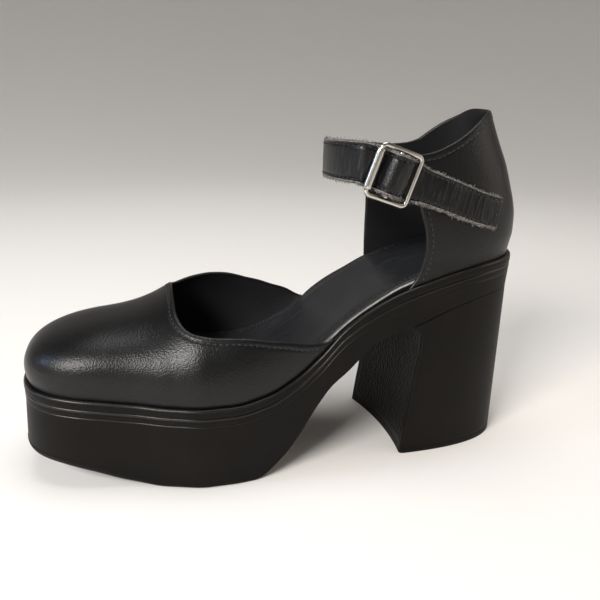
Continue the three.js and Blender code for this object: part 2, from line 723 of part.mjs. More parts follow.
function makeQuarter() {
  const levels = steps(-0.3, 1.1, 18);
  const shell = quarterBody(levels, QUARTER_TO, 0).subtract(
    quarterBody([-0.35, ...levels, 1.15], QUARTER_TO + 1, UPPER_WALL),
  );
  const acrossBlend = (y) => Math.min(1, Math.max(0, 0.5 + y / (SEAT_WIDTH * 0.3)));
  const collar = slab(
    [-0.05, ...steps(0, 0.3, 24), 0.4].map((at) => at * LENGTH),
    [-1, -0.15, 0.15, 1].map((share) => share * SEAT_WIDTH),
    (x, y) => {
      const blend = acrossBlend(y);
      return levelZ(collarOuter(x / LENGTH) * blend + collarInner(x / LENGTH) * (1 - blend));
    },
    () => levelZ(1.3),
    (x, y, z) => new THREE.Vector3(x, y, z),
  );
  const front = (edge, side) =>
    slab(
      steps(-0.4, 1.2, 26).map(levelZ),
      side > 0 ? [0, SEAT_WIDTH] : [-SEAT_WIDTH, 0],
      (z) => edge(levelUp(z)) * LENGTH,
      () => LENGTH * 0.45,
      (z, y, x) => new THREE.Vector3(x, y, z),
    );
  const bed = slab(
    steps(-0.05, 0.4, 18).map((at) => at * LENGTH),
    [-SEAT_WIDTH, SEAT_WIDTH],
    () => 0,
    (x) => bedZ(x) + SEAM,
    (x, y, z) => new THREE.Vector3(x, y, z),
  );
  const cuts = [collar, front(frontOuter, 1), front(frontInner, -1), bed];
  return largest(cuts.reduce((rest, cut) => rest.subtract(cut), shell));
}

// A place on the quarter's surface at x and z, moved off it, with the surface's outward direction.
function onQuarter(x, z, side, off) {
  let low = 0;
  let high = turnOf(0.4 * LENGTH);
  while (high - low > 1e-5) {
    const middle = (low + high) / 2;
    if (quarterPoint(middle, side, z).x < x) low = middle;
    else high = middle;
  }
  const step = 0.01;
  const ahead = quarterPoint(low + step, side, z).sub(quarterPoint(low - step, side, z));
  const up = quarterPoint(low, side, z + 1).sub(quarterPoint(low, side, z - 1));
  const out = ahead.cross(up).multiplyScalar(-side).normalize();
  return { at: quarterPoint(low, side, z).addScaledVector(out, off), out };
}

const onQuarterRow = (row, side, off) => onQuarter(row.at * LENGTH, levelZ(row.up), side, off);

// The buckle's own directions: along runs down the strap to the heel, bar up its bars, and out of the shoe.
const tilt = THREE.MathUtils.degToRad(BUCKLE_TILT);
const BUCKLE = {
  at: new THREE.Vector3(BUCKLE_AT * LENGTH, BUCKLE_ACROSS * SEAT_WIDTH, levelZ(BUCKLE_UP)),
  along: new THREE.Vector3(-Math.cos(tilt), 0, -Math.sin(tilt)),
  bar: new THREE.Vector3(-Math.sin(tilt), 0, Math.cos(tilt)),
  out: new THREE.Vector3(0, 1, 0),
};
const inBuckle = (along, out, bar = 0) =>
  BUCKLE.at
    .clone()
    .addScaledVector(BUCKLE.along, along)
    .addScaledVector(BUCKLE.out, out)
    .addScaledVector(BUCKLE.bar, bar);

function makeStrap() {
  const inside = -(UPPER_WALL + SEAM + ROOT_EASE + STRAP_THICKNESS / 2);
  const root = STRAP_ROOT.map((row) => onQuarterRow(row, -1, inside));
  const loop = STRAP_LOOP.map((row) => ({
    at: new THREE.Vector3(row.at * LENGTH, row.across * SEAT_WIDTH, levelZ(row.up)),
  }));
  const buckle = STRAP_IN_BUCKLE.map((row) => ({
    at: inBuckle(row.along * BUCKLE_LENGTH, row.out * STRAP_THICKNESS, row.along * STRAP_SKEW - STRAP_SAG),
    out: BUCKLE.out,
  }));
  const tail = STRAP_TAIL.map((row) => onQuarterRow(row, 1, row.off * STRAP_THICKNESS));
  const keys = [...root, ...loop, ...buckle, ...tail];
  const up = new THREE.Vector3(0, 0, 1);
  keys.forEach((key, i) => {
    key.out ??= keys[i + 1].at.clone().sub(keys[i - 1].at).cross(up).normalize();
  });
  return sweep(framesAlong(keys, STRAP_STEP), bandSection(STRAP_WIDTH, STRAP_THICKNESS));
}

// Tab: from the outer quarter round the middle bar, with a slot for the prong.
function makeTab() {
  const root = TAB_ROOT.map((row) => onQuarterRow(row, 1, SEAM + TAB_THICKNESS / 2));
  const loop = TAB_LOOP.map((row) => ({
    at: inBuckle(row.along * BUCKLE_LENGTH, row.out * TAB_THICKNESS),
  }));
  loop.forEach((key, i) => {
    const before = loop[Math.max(0, i - 1)].at;
    const after = loop[Math.min(loop.length - 1, i + 1)].at;
    key.out = BUCKLE.bar.clone().cross(after.clone().sub(before)).normalize();
  });
  const slot = slab(
    [-0.2, 0.15].map((share) => share * BUCKLE_LENGTH),
    [-TAB_SLOT / 2, TAB_SLOT / 2],
    () => -2 * BUCKLE_ROD,
    () => 2 * BUCKLE_ROD,
    (along, bar, out) => inBuckle(along, out, bar),
  );
  const band = sweep(framesAlong([...root, ...loop], TAB_STEP), bandSection(TAB_WIDTH, TAB_THICKNESS));
  return band.subtract(slot);
}

// A rod of the buckle between places given by along, out and bar.
function rod(from, to, diameter, sides) {
  const ends = [inBuckle(...from), inBuckle(...to)];
  const run = ends[1].clone().sub(ends[0]).normalize();
  const beside = Math.abs(run.dot(BUCKLE.out)) > 0.7 ? BUCKLE.along : BUCKLE.out;
  const across = run.clone().cross(beside).normalize();
  const out = run.clone().cross(across);
  return sweep(ends.map((at) => ({ at, across, out })), rodSection(diameter, sides));
}

function makeFrame() {
  const radius = BUCKLE_CORNER - BUCKLE_ROD / 2;
  const halfLength = BUCKLE_LENGTH / 2 - BUCKLE_CORNER;
  const halfWidth = BUCKLE_WIDTH / 2 - BUCKLE_CORNER;
  const frames = [0, 1, 2, 3].flatMap((corner) =>
    steps(corner, corner + 1, 4).map((quarterTurn) => {
      const angle = (quarterTurn * Math.PI) / 2;
      const diagonal = ((corner + 0.5) * Math.PI) / 2;
      const along = halfLength * Math.sign(Math.cos(diagonal)) + radius * Math.cos(angle);
      const bar = halfWidth * Math.sign(Math.sin(diagonal)) + radius * Math.sin(angle);
      const across = BUCKLE.along.clone().multiplyScalar(Math.cos(angle));
      across.addScaledVector(BUCKLE.bar, Math.sin(angle));
      return { at: inBuckle(along, 0, bar), across, out: BUCKLE.out };
    }),
  );
  const reach = (BUCKLE_WIDTH - BUCKLE_ROD) / 2;
  const middle = rod([0, -BAR_DROP, -reach], [0, -BAR_DROP, reach], BUCKLE_ROD);
  return sweep(frames, rodSection(BUCKLE_ROD), true).add(middle);
}

function makeRoller() {
  const along = (BUCKLE_ROD - BUCKLE_LENGTH) / 2;
  const tube = (length, diameter) => rod([along, 0, -length / 2], [along, 0, length / 2], diameter, 14);
  return tube(ROLLER_LENGTH, ROLLER_DIAMETER).subtract(tube(ROLLER_LENGTH * 1.2, BUCKLE_ROD + 2 * PLAY));
}

function makeProng() {
  const radius = (BUCKLE_ROD + PRONG_DIAMETER) / 2 + PLAY;
  const ring = steps(0, 2 * Math.PI, 14)
    .slice(1)
    .map((angle) => ({
      at: inBuckle(radius * Math.cos(angle), radius * Math.sin(angle) - BAR_DROP),
      across: BUCKLE.bar,
      out: BUCKLE.along.clone().multiplyScalar(Math.cos(angle)).addScaledVector(BUCKLE.out, Math.sin(angle)),
    }));
  const tip = [-0.385 * BUCKLE_LENGTH, -4.1 * PRONG_DIAMETER, 0];
  const pin = rod([0.4, -BAR_DROP - radius, 0], tip, PRONG_DIAMETER);
  return sweep(ring, rodSection(PRONG_DIAMETER), true).add(pin);
}

const leather = { color: 0x17171a, roughness: 0.38, metalness: 0 };
const strapLeather = { color: 0x1a1a1d, roughness: 0.45, metalness: 0 };
const moulded = { color: 0x1c1c1f, roughness: 0.6, metalness: 0 };
const lining = { color: 0x3a3a3d, roughness: 0.7, metalness: 0 };
const steel = { color: 0xb9b6b2, roughness: 0.2, metalness: 1 };

const group = new THREE.Group();
const add = (name, solid, look) => {
  const { vertProperties, triVerts } = solid.getMesh();
  const geometry = new THREE.BufferGeometry()
    .setAttribute("position", new THREE.BufferAttribute(vertProperties, 3))
    .setIndex(new THREE.BufferAttribute(triVerts, 1));
  const mesh = new THREE.Mesh(geometry, new THREE.MeshStandardMaterial(look));
  mesh.name = name;
  group.add(mesh);
};

add("sole", makeSole(), moulded);
add(
  "heel",
  makeHeel([
    { z: TIP_THICKNESS + SEAM, inset: 0 },
    { z: underZ(0) * 0.5, inset: 0 },
    { z: HEEL_HEIGHT * 0.9, inset: 0 },
  ]),
  moulded,
);
add(
  "heel_tip",
  makeHeel([
    { z: 0, inset: TIP_EDGE },
    { z: TIP_EDGE, inset: 0 },
    { z: TIP_THICKNESS, inset: 0 },
  ]),
  moulded,
);
add("insole", makeInsole(), lining);
add("vamp", makeVamp(), leather);
add("quarter", makeQuarter(), leather);
add("strap", makeStrap(), strapLeather);
add("buckle_tab", makeTab(), strapLeather);
add("buckle_frame", makeFrame(), steel);
add("buckle_roller", makeRoller(), steel);
add("buckle_prong", makeProng(), steel);

// The origin is the middle of the heel's flat underside.
group.position.x = -HEEL_CENTRE;

export default group;
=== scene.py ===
from bisect import bisect_left
from math import acos, cos, exp, pi, radians, sin, sqrt
from random import Random

import bmesh
import bpy
from mathutils import Matrix, Vector
from mathutils.bvhtree import BVHTree


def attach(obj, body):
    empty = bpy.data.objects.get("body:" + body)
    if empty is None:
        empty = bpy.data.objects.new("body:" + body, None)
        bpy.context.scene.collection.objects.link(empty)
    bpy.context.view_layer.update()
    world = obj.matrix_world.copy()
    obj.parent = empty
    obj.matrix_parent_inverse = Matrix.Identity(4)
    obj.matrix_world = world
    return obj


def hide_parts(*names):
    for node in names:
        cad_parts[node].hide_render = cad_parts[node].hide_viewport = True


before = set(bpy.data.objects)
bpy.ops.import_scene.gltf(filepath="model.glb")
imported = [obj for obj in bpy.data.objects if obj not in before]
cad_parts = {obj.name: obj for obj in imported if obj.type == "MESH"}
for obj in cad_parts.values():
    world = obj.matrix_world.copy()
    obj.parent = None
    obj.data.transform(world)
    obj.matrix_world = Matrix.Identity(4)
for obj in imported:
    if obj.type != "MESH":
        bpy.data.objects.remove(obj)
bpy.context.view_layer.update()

# Sole unit: platform, waist and heel seat moulded in one piece of matt foamed rubber, with a rounded bead
# and two fine lines round its rim. It is a grid bent round the last's outline, ring by ring.
LENGTH = 243.0
SEAT = 65.5
BALL = 86.0
PLATFORM = 41.5
SEAT_HEIGHT = 100.5
TOE_RISE = 5.5
TOE_SPRING = 13.2
HEEL_CAP = 66.0
TOE_CAP = 43.0
HEEL_MIDDLE = 31.75
LIP = 2.0
RECESS = 2.5
SEAM = 0.3
WALL_DRAFT = 0.052
LOWER_EDGE = 4.5
HEEL_SQUARE = 2.7
TOE_SQUARE = 2.6

# Share of the length; outer and inner half width as shares; rise to the seat; spring to the toe; pad.
LAST = [
    (0.0, SEAT, 1.0, 0.985, 1.0, 0.0, 0.62),
    (0.0903, SEAT, 1.0, 0.985, 0.971, 0.0, 0.62),
    (0.1646, SEAT, 1.0, 0.98, 0.917, 0.0, 0.62),
    (0.2678, SEAT, 1.0, 0.97, 0.792, 0.0, 0.55),
    (0.3412, SEAT, 1.03, 0.962, 0.656, 0.0, 0.32),
    (0.3947, BALL, 0.807, 0.74, 0.51, 0.0, 0.27),
    (0.4443, BALL, 0.842, 0.763, 0.302, 0.0, 0.6),
    (0.4939, BALL, 0.898, 0.805, 0.147, 0.0, 0.95),
    (0.5514, BALL, 0.963, 0.874, 0.041, 0.0, 1.0),
    (0.6169, BALL, 1.016, 0.949, 0.0, 0.0, 1.0),
    (0.6665, BALL, 1.021, 0.977, 0.0, 0.0, 1.0),
    (0.7329, BALL, 0.935, 0.967, 0.0, 0.04, 1.0),
    (0.8023, BALL, 0.814, 0.916, 0.0, 0.24, 1.0),
    (0.8638, BALL, 0.758, 0.86, 0.0, 0.53, 1.0),
    (1.0, BALL, 0.71, 0.814, 0.0, 1.0, 1.0),
]
# Share of the length; height, toe spring, rounded lower edge and draft as shares.
UNDERSIDE = [
    (0.0, 0.833, 0.0, 0.08, 1.0),
    (0.0823, 0.818, 0.0, 0.08, 1.0),
    (0.1646, 0.771, 0.0, 0.08, 1.0),
    (0.237, 0.7, 0.0, 0.1, 1.0),
    (0.2598, 0.68, 0.0, 0.13, 1.0),
    (0.3045, 0.652, 0.0, 0.15, 1.0),
    (0.3441, 0.59, 0.0, 0.15, 1.0),
    (0.3858, 0.49, 0.0, 0.15, 1.0),
    (0.4195, 0.423, 0.0, 0.15, 1.0),
    (0.4513, 0.318, 0.0, 0.18, 1.0),
    (0.486, 0.184, 0.0, 0.2, 1.0),
    (0.5246, 0.075, 0.0, 0.25, 1.0),
    (0.5723, 0.0, 0.0, 0.3, 1.0),
    (0.7537, 0.0, 0.0, 0.4, 1.0),
    (0.8152, 0.0, 0.18, 0.7, 0.7),
    (0.8847, 0.0, 0.61, 0.95, 0.0),
    (0.9422, 0.0, 0.905, 0.95, -0.8),
    (1.0, 0.0, 1.0, 0.9, -1.0),
]


def smooth_line(rows, column):
    """A curve through one column of a table that never overshoots its rows."""
    xs = [row[0] for row in rows]
    ys = [row[column] if isinstance(column, int) else column(row) for row in rows]
    slopes = [(ys[i + 1] - ys[i]) / (xs[i + 1] - xs[i]) for i in range(len(xs) - 1)]
    bends = []
    for i in range(len(xs)):
        before, after = slopes[max(i - 1, 0)], slopes[min(i, len(slopes) - 1)]
        bends.append(0 if before * after <= 0 else 2 * before * after / (before + after))

    def at(x):
        if x <= xs[0]:
            return ys[0]
        if x >= xs[-1]:
            return ys[-1]
        i = bisect_left(xs, x) - 1
        h = xs[i + 1] - xs[i]
        s = (x - xs[i]) / h
        return (
            ys[i] * (1 + 2 * s) * (1 - s) ** 2
            + h * bends[i] * s * (1 - s) ** 2
            + ys[i + 1] * s * s * (3 - 2 * s)
            + h * bends[i + 1] * s * s * (s - 1)
        )

    return at


outer_half = smooth_line(LAST, lambda row: row[1] / 2 * row[2])
inner_half = smooth_line(LAST, lambda row: row[1] / 2 * row[3])
rise = smooth_line(LAST, 4)
spring = smooth_line(LAST, 5)
pad = smooth_line(LAST, 6)
under_height = smooth_line(UNDERSIDE, 1)
under_spring = smooth_line(UNDERSIDE, 2)
under_edge = smooth_line(UNDERSIDE, 3)
under_draft = smooth_line(UNDERSIDE, 4)


def rim_z(x):
    return PLATFORM + rise(x / LENGTH) * (SEAT_HEIGHT - PLATFORM) + spring(x / LENGTH) * TOE_RISE


def bed_z(x):
    return rim_z(x) - RECESS


def under_z(x):
    return under_height(x / LENGTH) * SEAT_HEIGHT + under_spring(x / LENGTH) * TOE_SPRING


def turn_of(x):
    return acos(1 - 2 * x / LENGTH)


def capped(share, square):
    return max(0.0, 1 - max(0.0, share) ** square) ** (1 / square)


def rim(turn):
    """The rim from above. The turn is 0 at the back and pi at the toe, and below 0 on the inner side."""
    side = 1 if turn >= 0 else -1
    turn = abs(turn)
    if turn > pi:
        side, turn = -side, 2 * pi - turn
    x = LENGTH * (1 - cos(turn)) / 2
    outer, inner = outer_half(x / LENGTH), inner_half(x / LENGTH)
    cap = capped((HEEL_CAP - x) / HEEL_CAP, HEEL_SQUARE)
    cap *= capped((x - LENGTH + TOE_CAP) / TOE_CAP, TOE_SQUARE)
    return Vector((x, (outer - inner + side * (outer + inner) * cap) / 2))


def rim_normal(turn):
    run = rim(turn + 0.02) - rim(turn - 0.02)
    return Vector((-run.y, run.x)).normalized()


def rim_inset(turn, inset):
    return rim(turn) - rim_normal(turn) * inset


def clamp(share):
    return min(1.0, max(0.0, share))


def spread(start, end, count):
    return [start + (end - start) * i / count for i in range(count + 1)]


def in_row(point):
    """Millimetres from the rim's back, turned to metres from the middle of the heel."""
    return Vector(((point[0] - HEEL_MIDDLE) / 1000, point[1] / 1000, point[2] / 1000))


def skin(shape, us, vs, place, finish=0):
    """A grid with each corner moved to place(u, v); its UV map keeps u and v, and finish is its material."""
    uv = shape.loops.layers.uv.verify()
    made = bmesh.ops.create_grid(shape, x_segments=len(us) - 1, y_segments=len(vs) - 1, size=0.5)["verts"]
    spots = {}
    for corner in made:
        i = round((corner.co.x + 0.5) * (len(us) - 1))
        j = round((corner.co.y + 0.5) * (len(vs) - 1))
        spots[corner] = (us[i], vs[j])
        corner.co = in_row(place(us[i], vs[j]))
    for face in {face for corner in made for face in corner.link_faces}:
        face.material_index = finish
        for loop in face.loops:
            loop[uv].uv = spots[loop.vert]


def add_piece(name, shape, materials, nodes=(), crisp=35, outward=True):
    """Welds the shape, turns its faces outwards and puts it in the scene for these CAD nodes."""
    bmesh.ops.remove_doubles(shape, verts=shape.verts, dist=4e-6)
    if outward:
        bmesh.ops.recalc_face_normals(shape, faces=shape.faces)
    mesh = bpy.data.meshes.new(name)
    shape.to_mesh(mesh)
    shape.free()
    mesh.shade_smooth()
    mesh.set_sharp_from_angle(angle=radians(crisp))
    for material in materials:
        mesh.materials.append(material)
    piece = bpy.data.objects.new(name, mesh)
    bpy.context.scene.collection.objects.link(piece)
    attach(piece, "root")
    if nodes:
        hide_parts(*nodes)
    return piece


def linear(code):
    """An sRGB hex colour as linear light."""
    parts = [int(code[i : i + 2], 16) / 255 for i in (1, 3, 5)]
    return [c / 12.92 if c <= 0.04045 else ((c + 0.055) / 1.055) ** 2.4 for c in parts] + [1.0]


def fill(tree, node, inputs):
    """Gives a node its inputs: each is a value or another node's socket."""
    for key, value in inputs.items():
        if isinstance(value, bpy.types.NodeSocket):
            tree.links.new(value, node.inputs[key])
        else:
            node.inputs[key].default_value = value


def add_node(tree, kind, inputs=None, **settings):
    made = tree.nodes.new(kind)
    for key, value in settings.items():
        setattr(made, key, value)
    fill(tree, made, inputs or {})
    return made


def new_material(name):
    """A material with its nodes, its shader and the Object coordinates."""
    made = bpy.data.materials.new(name)
    made.use_nodes = True
    tree = made.node_tree
    coords = add_node(tree, "ShaderNodeTexCoord")
    return made, tree, tree.nodes["Principled BSDF"], coords.outputs["Object"]


def add_noise(tree, vector, scale, detail=2.0):
    inputs = {"Vector": vector, "Scale": scale, "Detail": detail}
    return add_node(tree, "ShaderNodeTexNoise", inputs).outputs["Fac"]


def two_tones(tree, share, dark, light, start=0.0, end=1.0):
    """A colour that goes from dark to light as the share goes from start to end."""
    made = add_node(tree, "ShaderNodeValToRGB", {"Fac": share})
    for stop, at, code in zip(made.color_ramp.elements, (start, end), (dark, light)):
        stop.position = at
        stop.color = linear(code)
    return made.outputs["Color"]


def add_bump(tree, height, strength, distance, under=None):
    """A bump over another one, or over the smooth surface."""
    inputs = {"Height": height, "Strength": strength, "Distance": distance}
    if under is not None:
        inputs["Normal"] = under
    return add_node(tree, "ShaderNodeBump", inputs).outputs["Normal"]


def add_range(tree, value, kind, low, high):
    """Maps a value from or to a range; the other one is 0 to 1."""
    inputs = {"Value": value, f"{kind} Min": low, f"{kind} Max": high}
    return add_node(tree, "ShaderNodeMapRange", inputs).outputs["Result"]


def second_finish(shape, *spans):
    """Gives the second material to the faces whose row lies in one of these spans."""
    uv = shape.loops.layers.uv.verify()
    for face in shape.faces:
        row = sum(loop[uv].uv.y for loop in face.loops) / len(face.loops)
        if any(low < row < high for low, high in spans):
            face.material_index = 1


# Foamed rubber: matt near black with a brown cast and a fine pitted skin, a little glossier in patches.
rubber, tree, shader, coords = new_material("moulded foamed rubber")
cloud = add_noise(tree, coords, 45.0, 4.0)
tone = two_tones(tree, cloud, "#0a0806", "#120e0b", 0.3, 0.75)
pits = add_bump(tree, add_noise(tree, coords, 1600.0), 0.25, 0.0002)
wear = add_range(tree, cloud, "To", 0.44, 0.56)
fill(tree, shader, {"Base Color": tone, "Roughness": wear, "Normal": pits, "Specular IOR Level": 0.13})

# The rim's face from its top down: depth under the rim and inset.
RIM_FACE = [
    (0.22, 2.2), (0.04, 1.8), (0.0, 1.35), (0.06, 0.9), (0.25, 0.5), (0.6, 0.2), (1.1, 0.05), (2.0, 0.0),
    (3.1, 0.03), (3.75, 0.12), (4.1, 0.3), (4.3, 0.52), (4.45, 0.52), (4.6, 0.34), (4.9, 0.2), (5.5, 0.14),
    (6.6, 0.15), (7.5, 0.2), (7.95, 0.32), (8.2, 0.5), (8.35, 0.5), (8.5, 0.38), (8.8, 0.31), (9.3, 0.3),
]  # fmt: skip
FACE_DEPTH, FACE_INSET = RIM_FACE[-1]
WALL_FROM = 8.3


def wall_inset(x, z):
    return FACE_INSET + max(0.0, rim_z(x) - WALL_FROM - z) * WALL_DRAFT * under_draft(x / LENGTH)


def sole_ring(turn, row):
    """Height, inset and width share of one ring: recess, rim face, wall, lower edge and underside."""
    x = LENGTH * (1 - cos(turn)) / 2
    if row < 1:
        return bed_z(x), LIP, row
    if row < 2:
        return rim_z(x) - 0.6, LIP + 0.2, 1
    if row < 30:
        down, inset = RIM_FACE[round(row - 2)]
        return rim_z(x) - down, inset, 1
    edge = under_edge(x / LENGTH) * LOWER_EDGE
    if row < 40:
        share = (row - 30) / 9
        z = (rim_z(x) - FACE_DEPTH) * (1 - share) + (under_z(x) + edge) * share
        return z, wall_inset(x, z), 1
    angle = (min(row, 45) - 40) / 5 * pi / 2
    inset = wall_inset(x, under_z(x)) + edge * (1 - cos(angle))
    return under_z(x) + edge * (1 - sin(angle)), inset, max(0.0, 1 - (max(row, 45) - 45) / 5)


def sole_place(turn, row):
    z, inset, share = sole_ring(turn, row)
    flat = rim_inset(turn, inset)
    return flat.x, flat.y * share, z


rows = [0, 0.5, 0.999, 1.5, *[2 + i for i in range(len(RIM_FACE))], *range(31, 51)]
shape = bmesh.new()
skin(shape, spread(-pi, pi, 260), rows, sole_place)
# Burnished rim: the same rubber rubbed smooth, so that the bead's lips catch thin bright lines.
rim_rubber = rubber.copy()
rim_rubber.name = "moulded foamed rubber, burnished rim"
tree = rim_rubber.node_tree
fill(tree, tree.nodes["Map Range"], {"To Min": 0.26, "To Max": 0.36})
fill(tree, tree.nodes["Principled BSDF"], {"Specular IOR Level": 0.42})
second_finish(shape, (3, 8), (14, 17), (22, 24))
add_piece("sole_unit", shape, [rubber, rim_rubber], ["sole"])

# Heel block: a hollow moulding of the same rubber, its front face stippled inside a smooth border, with a
# thin hard rubber top piece under it. Both are rings of the seat's outline cut off by the breast.
BREAST_AT = 56.5
BREAST_FILLET = 7.0
BREAST_SWEEP = 7.0
BREAST_SLANT = 5.2
BREAST_HOLLOW = 3.8
CORNER_TURN = 0.035
CORNER_BACK = 1.6
TIP = 2.8
HEEL_CENTRE = 28.0
BREAST = [(0.0, 1.0), (0.13, 0.79), (0.24, 0.58), (0.35, 0.46), (0.46, 0.28), (0.57, 0.06), (0.65, 0.0)]
breast_forward = smooth_line(BREAST, 1)


def breast_x(z, y):
    across = y / SEAT
    fillet = min(BREAST_FILLET * 0.97, max(0.0, z - under_z(BREAST_AT + 4.0) + BREAST_FILLET))
    return (
        BREAST_AT
        + BREAST_SWEEP * breast_forward(z / SEAT_HEIGHT)
        + BREAST_SLANT * (0.5 - across)
        - BREAST_HOLLOW * (1 - 4 * across**2)
        + (BREAST_FILLET - sqrt(BREAST_FILLET**2 - fillet**2)) * 0.9
    )


def heel_inset(z):
    return 0.74 - 0.55 * (1 - z / under_z(0))


def heel_corner(z, side):
    """The turn at which the heel's outline meets the breast."""
    low, high = 0.3, turn_of(HEEL_CAP * 1.3)
    for _ in range(30):
        middle = (low + high) / 2
        spot = rim_inset(side * middle, heel_inset(z))
        if spot.x < breast_x(z, spot.y):
            low = middle
        else:
            high = middle
    return low


heel_levels = spread(0, 84, 28)
corners = {
    side: smooth_line([(z, heel_corner(z, side)) for z in heel_levels], 1) for side in (1, -1)
}


def heel_outline(z, p):
    """Round the heel at one height: outer corner to back to inner corner, and back along the breast."""
    ends = {side: rim_inset(side * corners[side](z), heel_inset(z)) for side in (1, -1)}
    if p <= 1:
        start, end = corners[1](z) - CORNER_TURN, -corners[-1](z) + CORNER_TURN
        return rim_inset(start + (end - start) * p, heel_inset(z))
    if 2 <= p <= 3:
        y = (ends[-1].y + CORNER_BACK) * (3 - p) + (ends[1].y - CORNER_BACK) * (p - 2)
        return Vector((breast_x(z, y), y))
    side = -1 if p < 2 else 1
    curve = rim_inset(side * (corners[side](z) - CORNER_TURN), heel_inset(z))
    y = ends[side].y - CORNER_BACK * side
    face = Vector((breast_x(z, y), y))
    s = p - 1 if side < 0 else 4 - p
    return curve * (1 - s) ** 2 + ends[side] * 2 * s * (1 - s) + face * s * s


def heel_place(low, top):
    def place(p, h):
        share = 1 - max(0.0, h - 1, -h)
        level = clamp(h)
        z = low + level * (70 - low)
        for _ in range(5):
            flat = heel_outline(z, p % 4)
            z = low + level * (top(flat.x) - low)
        flat = Vector((HEEL_CENTRE + (flat.x - HEEL_CENTRE) * share, flat.y * share))
        return flat.x, flat.y, low + level * (top(flat.x) - low)

    return place


# Stippled breast: the same rubber with small raised dots that break up the light inside a smooth border.
breast_rubber = rubber.copy()
breast_rubber.name = "moulded foamed rubber with stippled breast"
tree = breast_rubber.node_tree
coords = add_node(tree, "ShaderNodeTexCoord")
along = add_node(tree, "ShaderNodeSeparateXYZ", {"Vector": coords.outputs["UV"]})
inputs = {"Vector": coords.outputs["Object"], "Scale": 750.0}
dots = add_node(tree, "ShaderNodeTexVoronoi", inputs, feature="F1").outputs[0]
for axis, start, end in [("X", 2.03, 2.045), ("X", 2.97, 2.955), ("Y", 0.03, 0.045), ("Y", 0.92, 0.9)]:
    within = add_range(tree, along.outputs[axis], "From", start, end)
    dots = add_node(tree, "ShaderNodeMath", {0: dots, 1: within}, operation="MULTIPLY").outputs[0]
stipples = add_bump(tree, dots, 1.0, 0.0008, tree.nodes["Bump"].outputs[0])
fill(tree, tree.nodes["Principled BSDF"], {"Normal": stipples})

rounds = [*spread(0, 1, 72)[:-1], *spread(1, 2, 5)[:-1], *spread(2, 3, 26)[:-1], *spread(3, 4, 5)]
shape = bmesh.new()
heights = [-1, -0.5, -0.004, 0.006, *spread(0.03, 0.97, 30), 1, 1.5, 2]
skin(shape, rounds, heights, heel_place(TIP + 0.12, lambda x: under_z(x) - 0.05))
add_piece("heel_block", shape, [breast_rubber], ["heel"])
shape = bmesh.new()
skin(shape, rounds, [-1, -0.5, -0.02, 0.08, 0.2, 0.6, 0.92, 1, 1.5, 2], heel_place(0, lambda x: TIP))
add_piece("heel_top_piece", shape, [rubber], ["heel_tip"])

# Insole: a thin pad of foam under dark grey leather with a pale painted highlight round its edge and two fine
# rows of stitching, let into the sole's recess. It is a grid bent over the bed, with a shallow dish for the
# foot.
PAD = 5.5
WALL = 1.8
INSOLE_INSET = LIP + WALL + 2 * SEAM


def insole_z(x):
    return rim_z(x) + pad(x / LENGTH) * PAD


# Inset from the pad's edge and drop under its top, from the bottom up and in.
PAD_EDGE = [
    (0.0, 9.0), (0.0, 1.9), (0.08, 0.85), (0.3, 0.42), (0.65, 0.12), (1.1, 0.0), (1.6, 0.03), (2.1, 0.2),
    (2.4, 0.28), (2.8, 0.2), (3.2, 0.12), (3.7, 0.2), (4.0, 0.26), (4.4, 0.18), (5.0, 0.12), (6.0, 0.14),
]  # fmt: skip


def insole_place(turn, row):
    x = LENGTH * (1 - cos(turn)) / 2
    if row < 1:
        flat = rim_inset(turn, INSOLE_INSET)
        return flat.x, flat.y * row, bed_z(x) + SEAM
    if row < 20:
        inset, drop = PAD_EDGE[round(row - 1)]
        flat = rim_inset(turn, INSOLE_INSET + inset)
        return flat.x, flat.y, max(insole_z(x) - drop, bed_z(x) + SEAM)
    flat = rim_inset(turn, INSOLE_INSET + PAD_EDGE[-1][0])
    share = 1 - (row - 20) / 14
    return flat.x, flat.y * share, insole_z(x) - 0.14 - 0.75 * (1 - share**2)


# Sock leather: dark grey with a soft sheen and fine pores, and faint pale scratches along the foot.
sock, tree, shader, coords = new_material("dark grey sock leather")
tone = two_tones(tree, add_noise(tree, coords, 60.0, 5.0), "#101113", "#1b1c1f", 0.3, 0.75)
drawn = add_node(tree, "ShaderNodeMapping", {"Vector": coords, "Scale": (60.0, 700.0, 60.0)})
marks = add_range(tree, add_noise(tree, drawn.outputs[0], 1.0), "From", 0.55, 0.85)
worn = add_node(tree, "ShaderNodeMix", {0: marks, 6: tone, 7: linear("#2c2d31")}, data_type="RGBA")
grain = add_node(tree, "ShaderNodeTexVoronoi", {"Vector": coords, "Scale": 1400.0})
pores = add_bump(tree, grain.outputs[0], 0.2, 0.0002)
fill(tree, shader, {"Base Color": worn.outputs[2], "Normal": pores, "Roughness": 0.38})

# Insole edge: a pale line painted round the pad, a painted highlight standing in for the bright line that
# light draws along the insole's edge.
edge_highlight_paint, tree, shader, coords = new_material("pale painted highlight round the insole")
tone = two_tones(tree, add_noise(tree, coords, 500.0, 3.0), "#6a6a6a", "#cfccc7")
fill(tree, shader, {"Base Color": tone, "Roughness": 0.7})

shape = bmesh.new()
rows = [0, 0.5, 0.999, *[1 + i for i in range(len(PAD_EDGE))], *range(21, 35)]
skin(shape, spread(-pi, pi, 220), rows, insole_place)
# The pad's upper edge takes the pale painted highlight.
second_finish(shape, (2, 3))
insole = add_piece("insole_pad", shape, [sock, edge_highlight_paint], ["insole"], crisp=60)

# Vamp: one piece of smooth black calf over the forefoot, lined, its topline turned over and stitched down.
# Each side is a grid between the topline or the crest and the feather line, in two skins with a rolled edge.
VAMP_HEIGHT = 46.0
VAMP_BULGE = 2.8
SPINE_END = 0.842
FEATHER = LIP + 0.1
FOOT_LEAD = 0.2
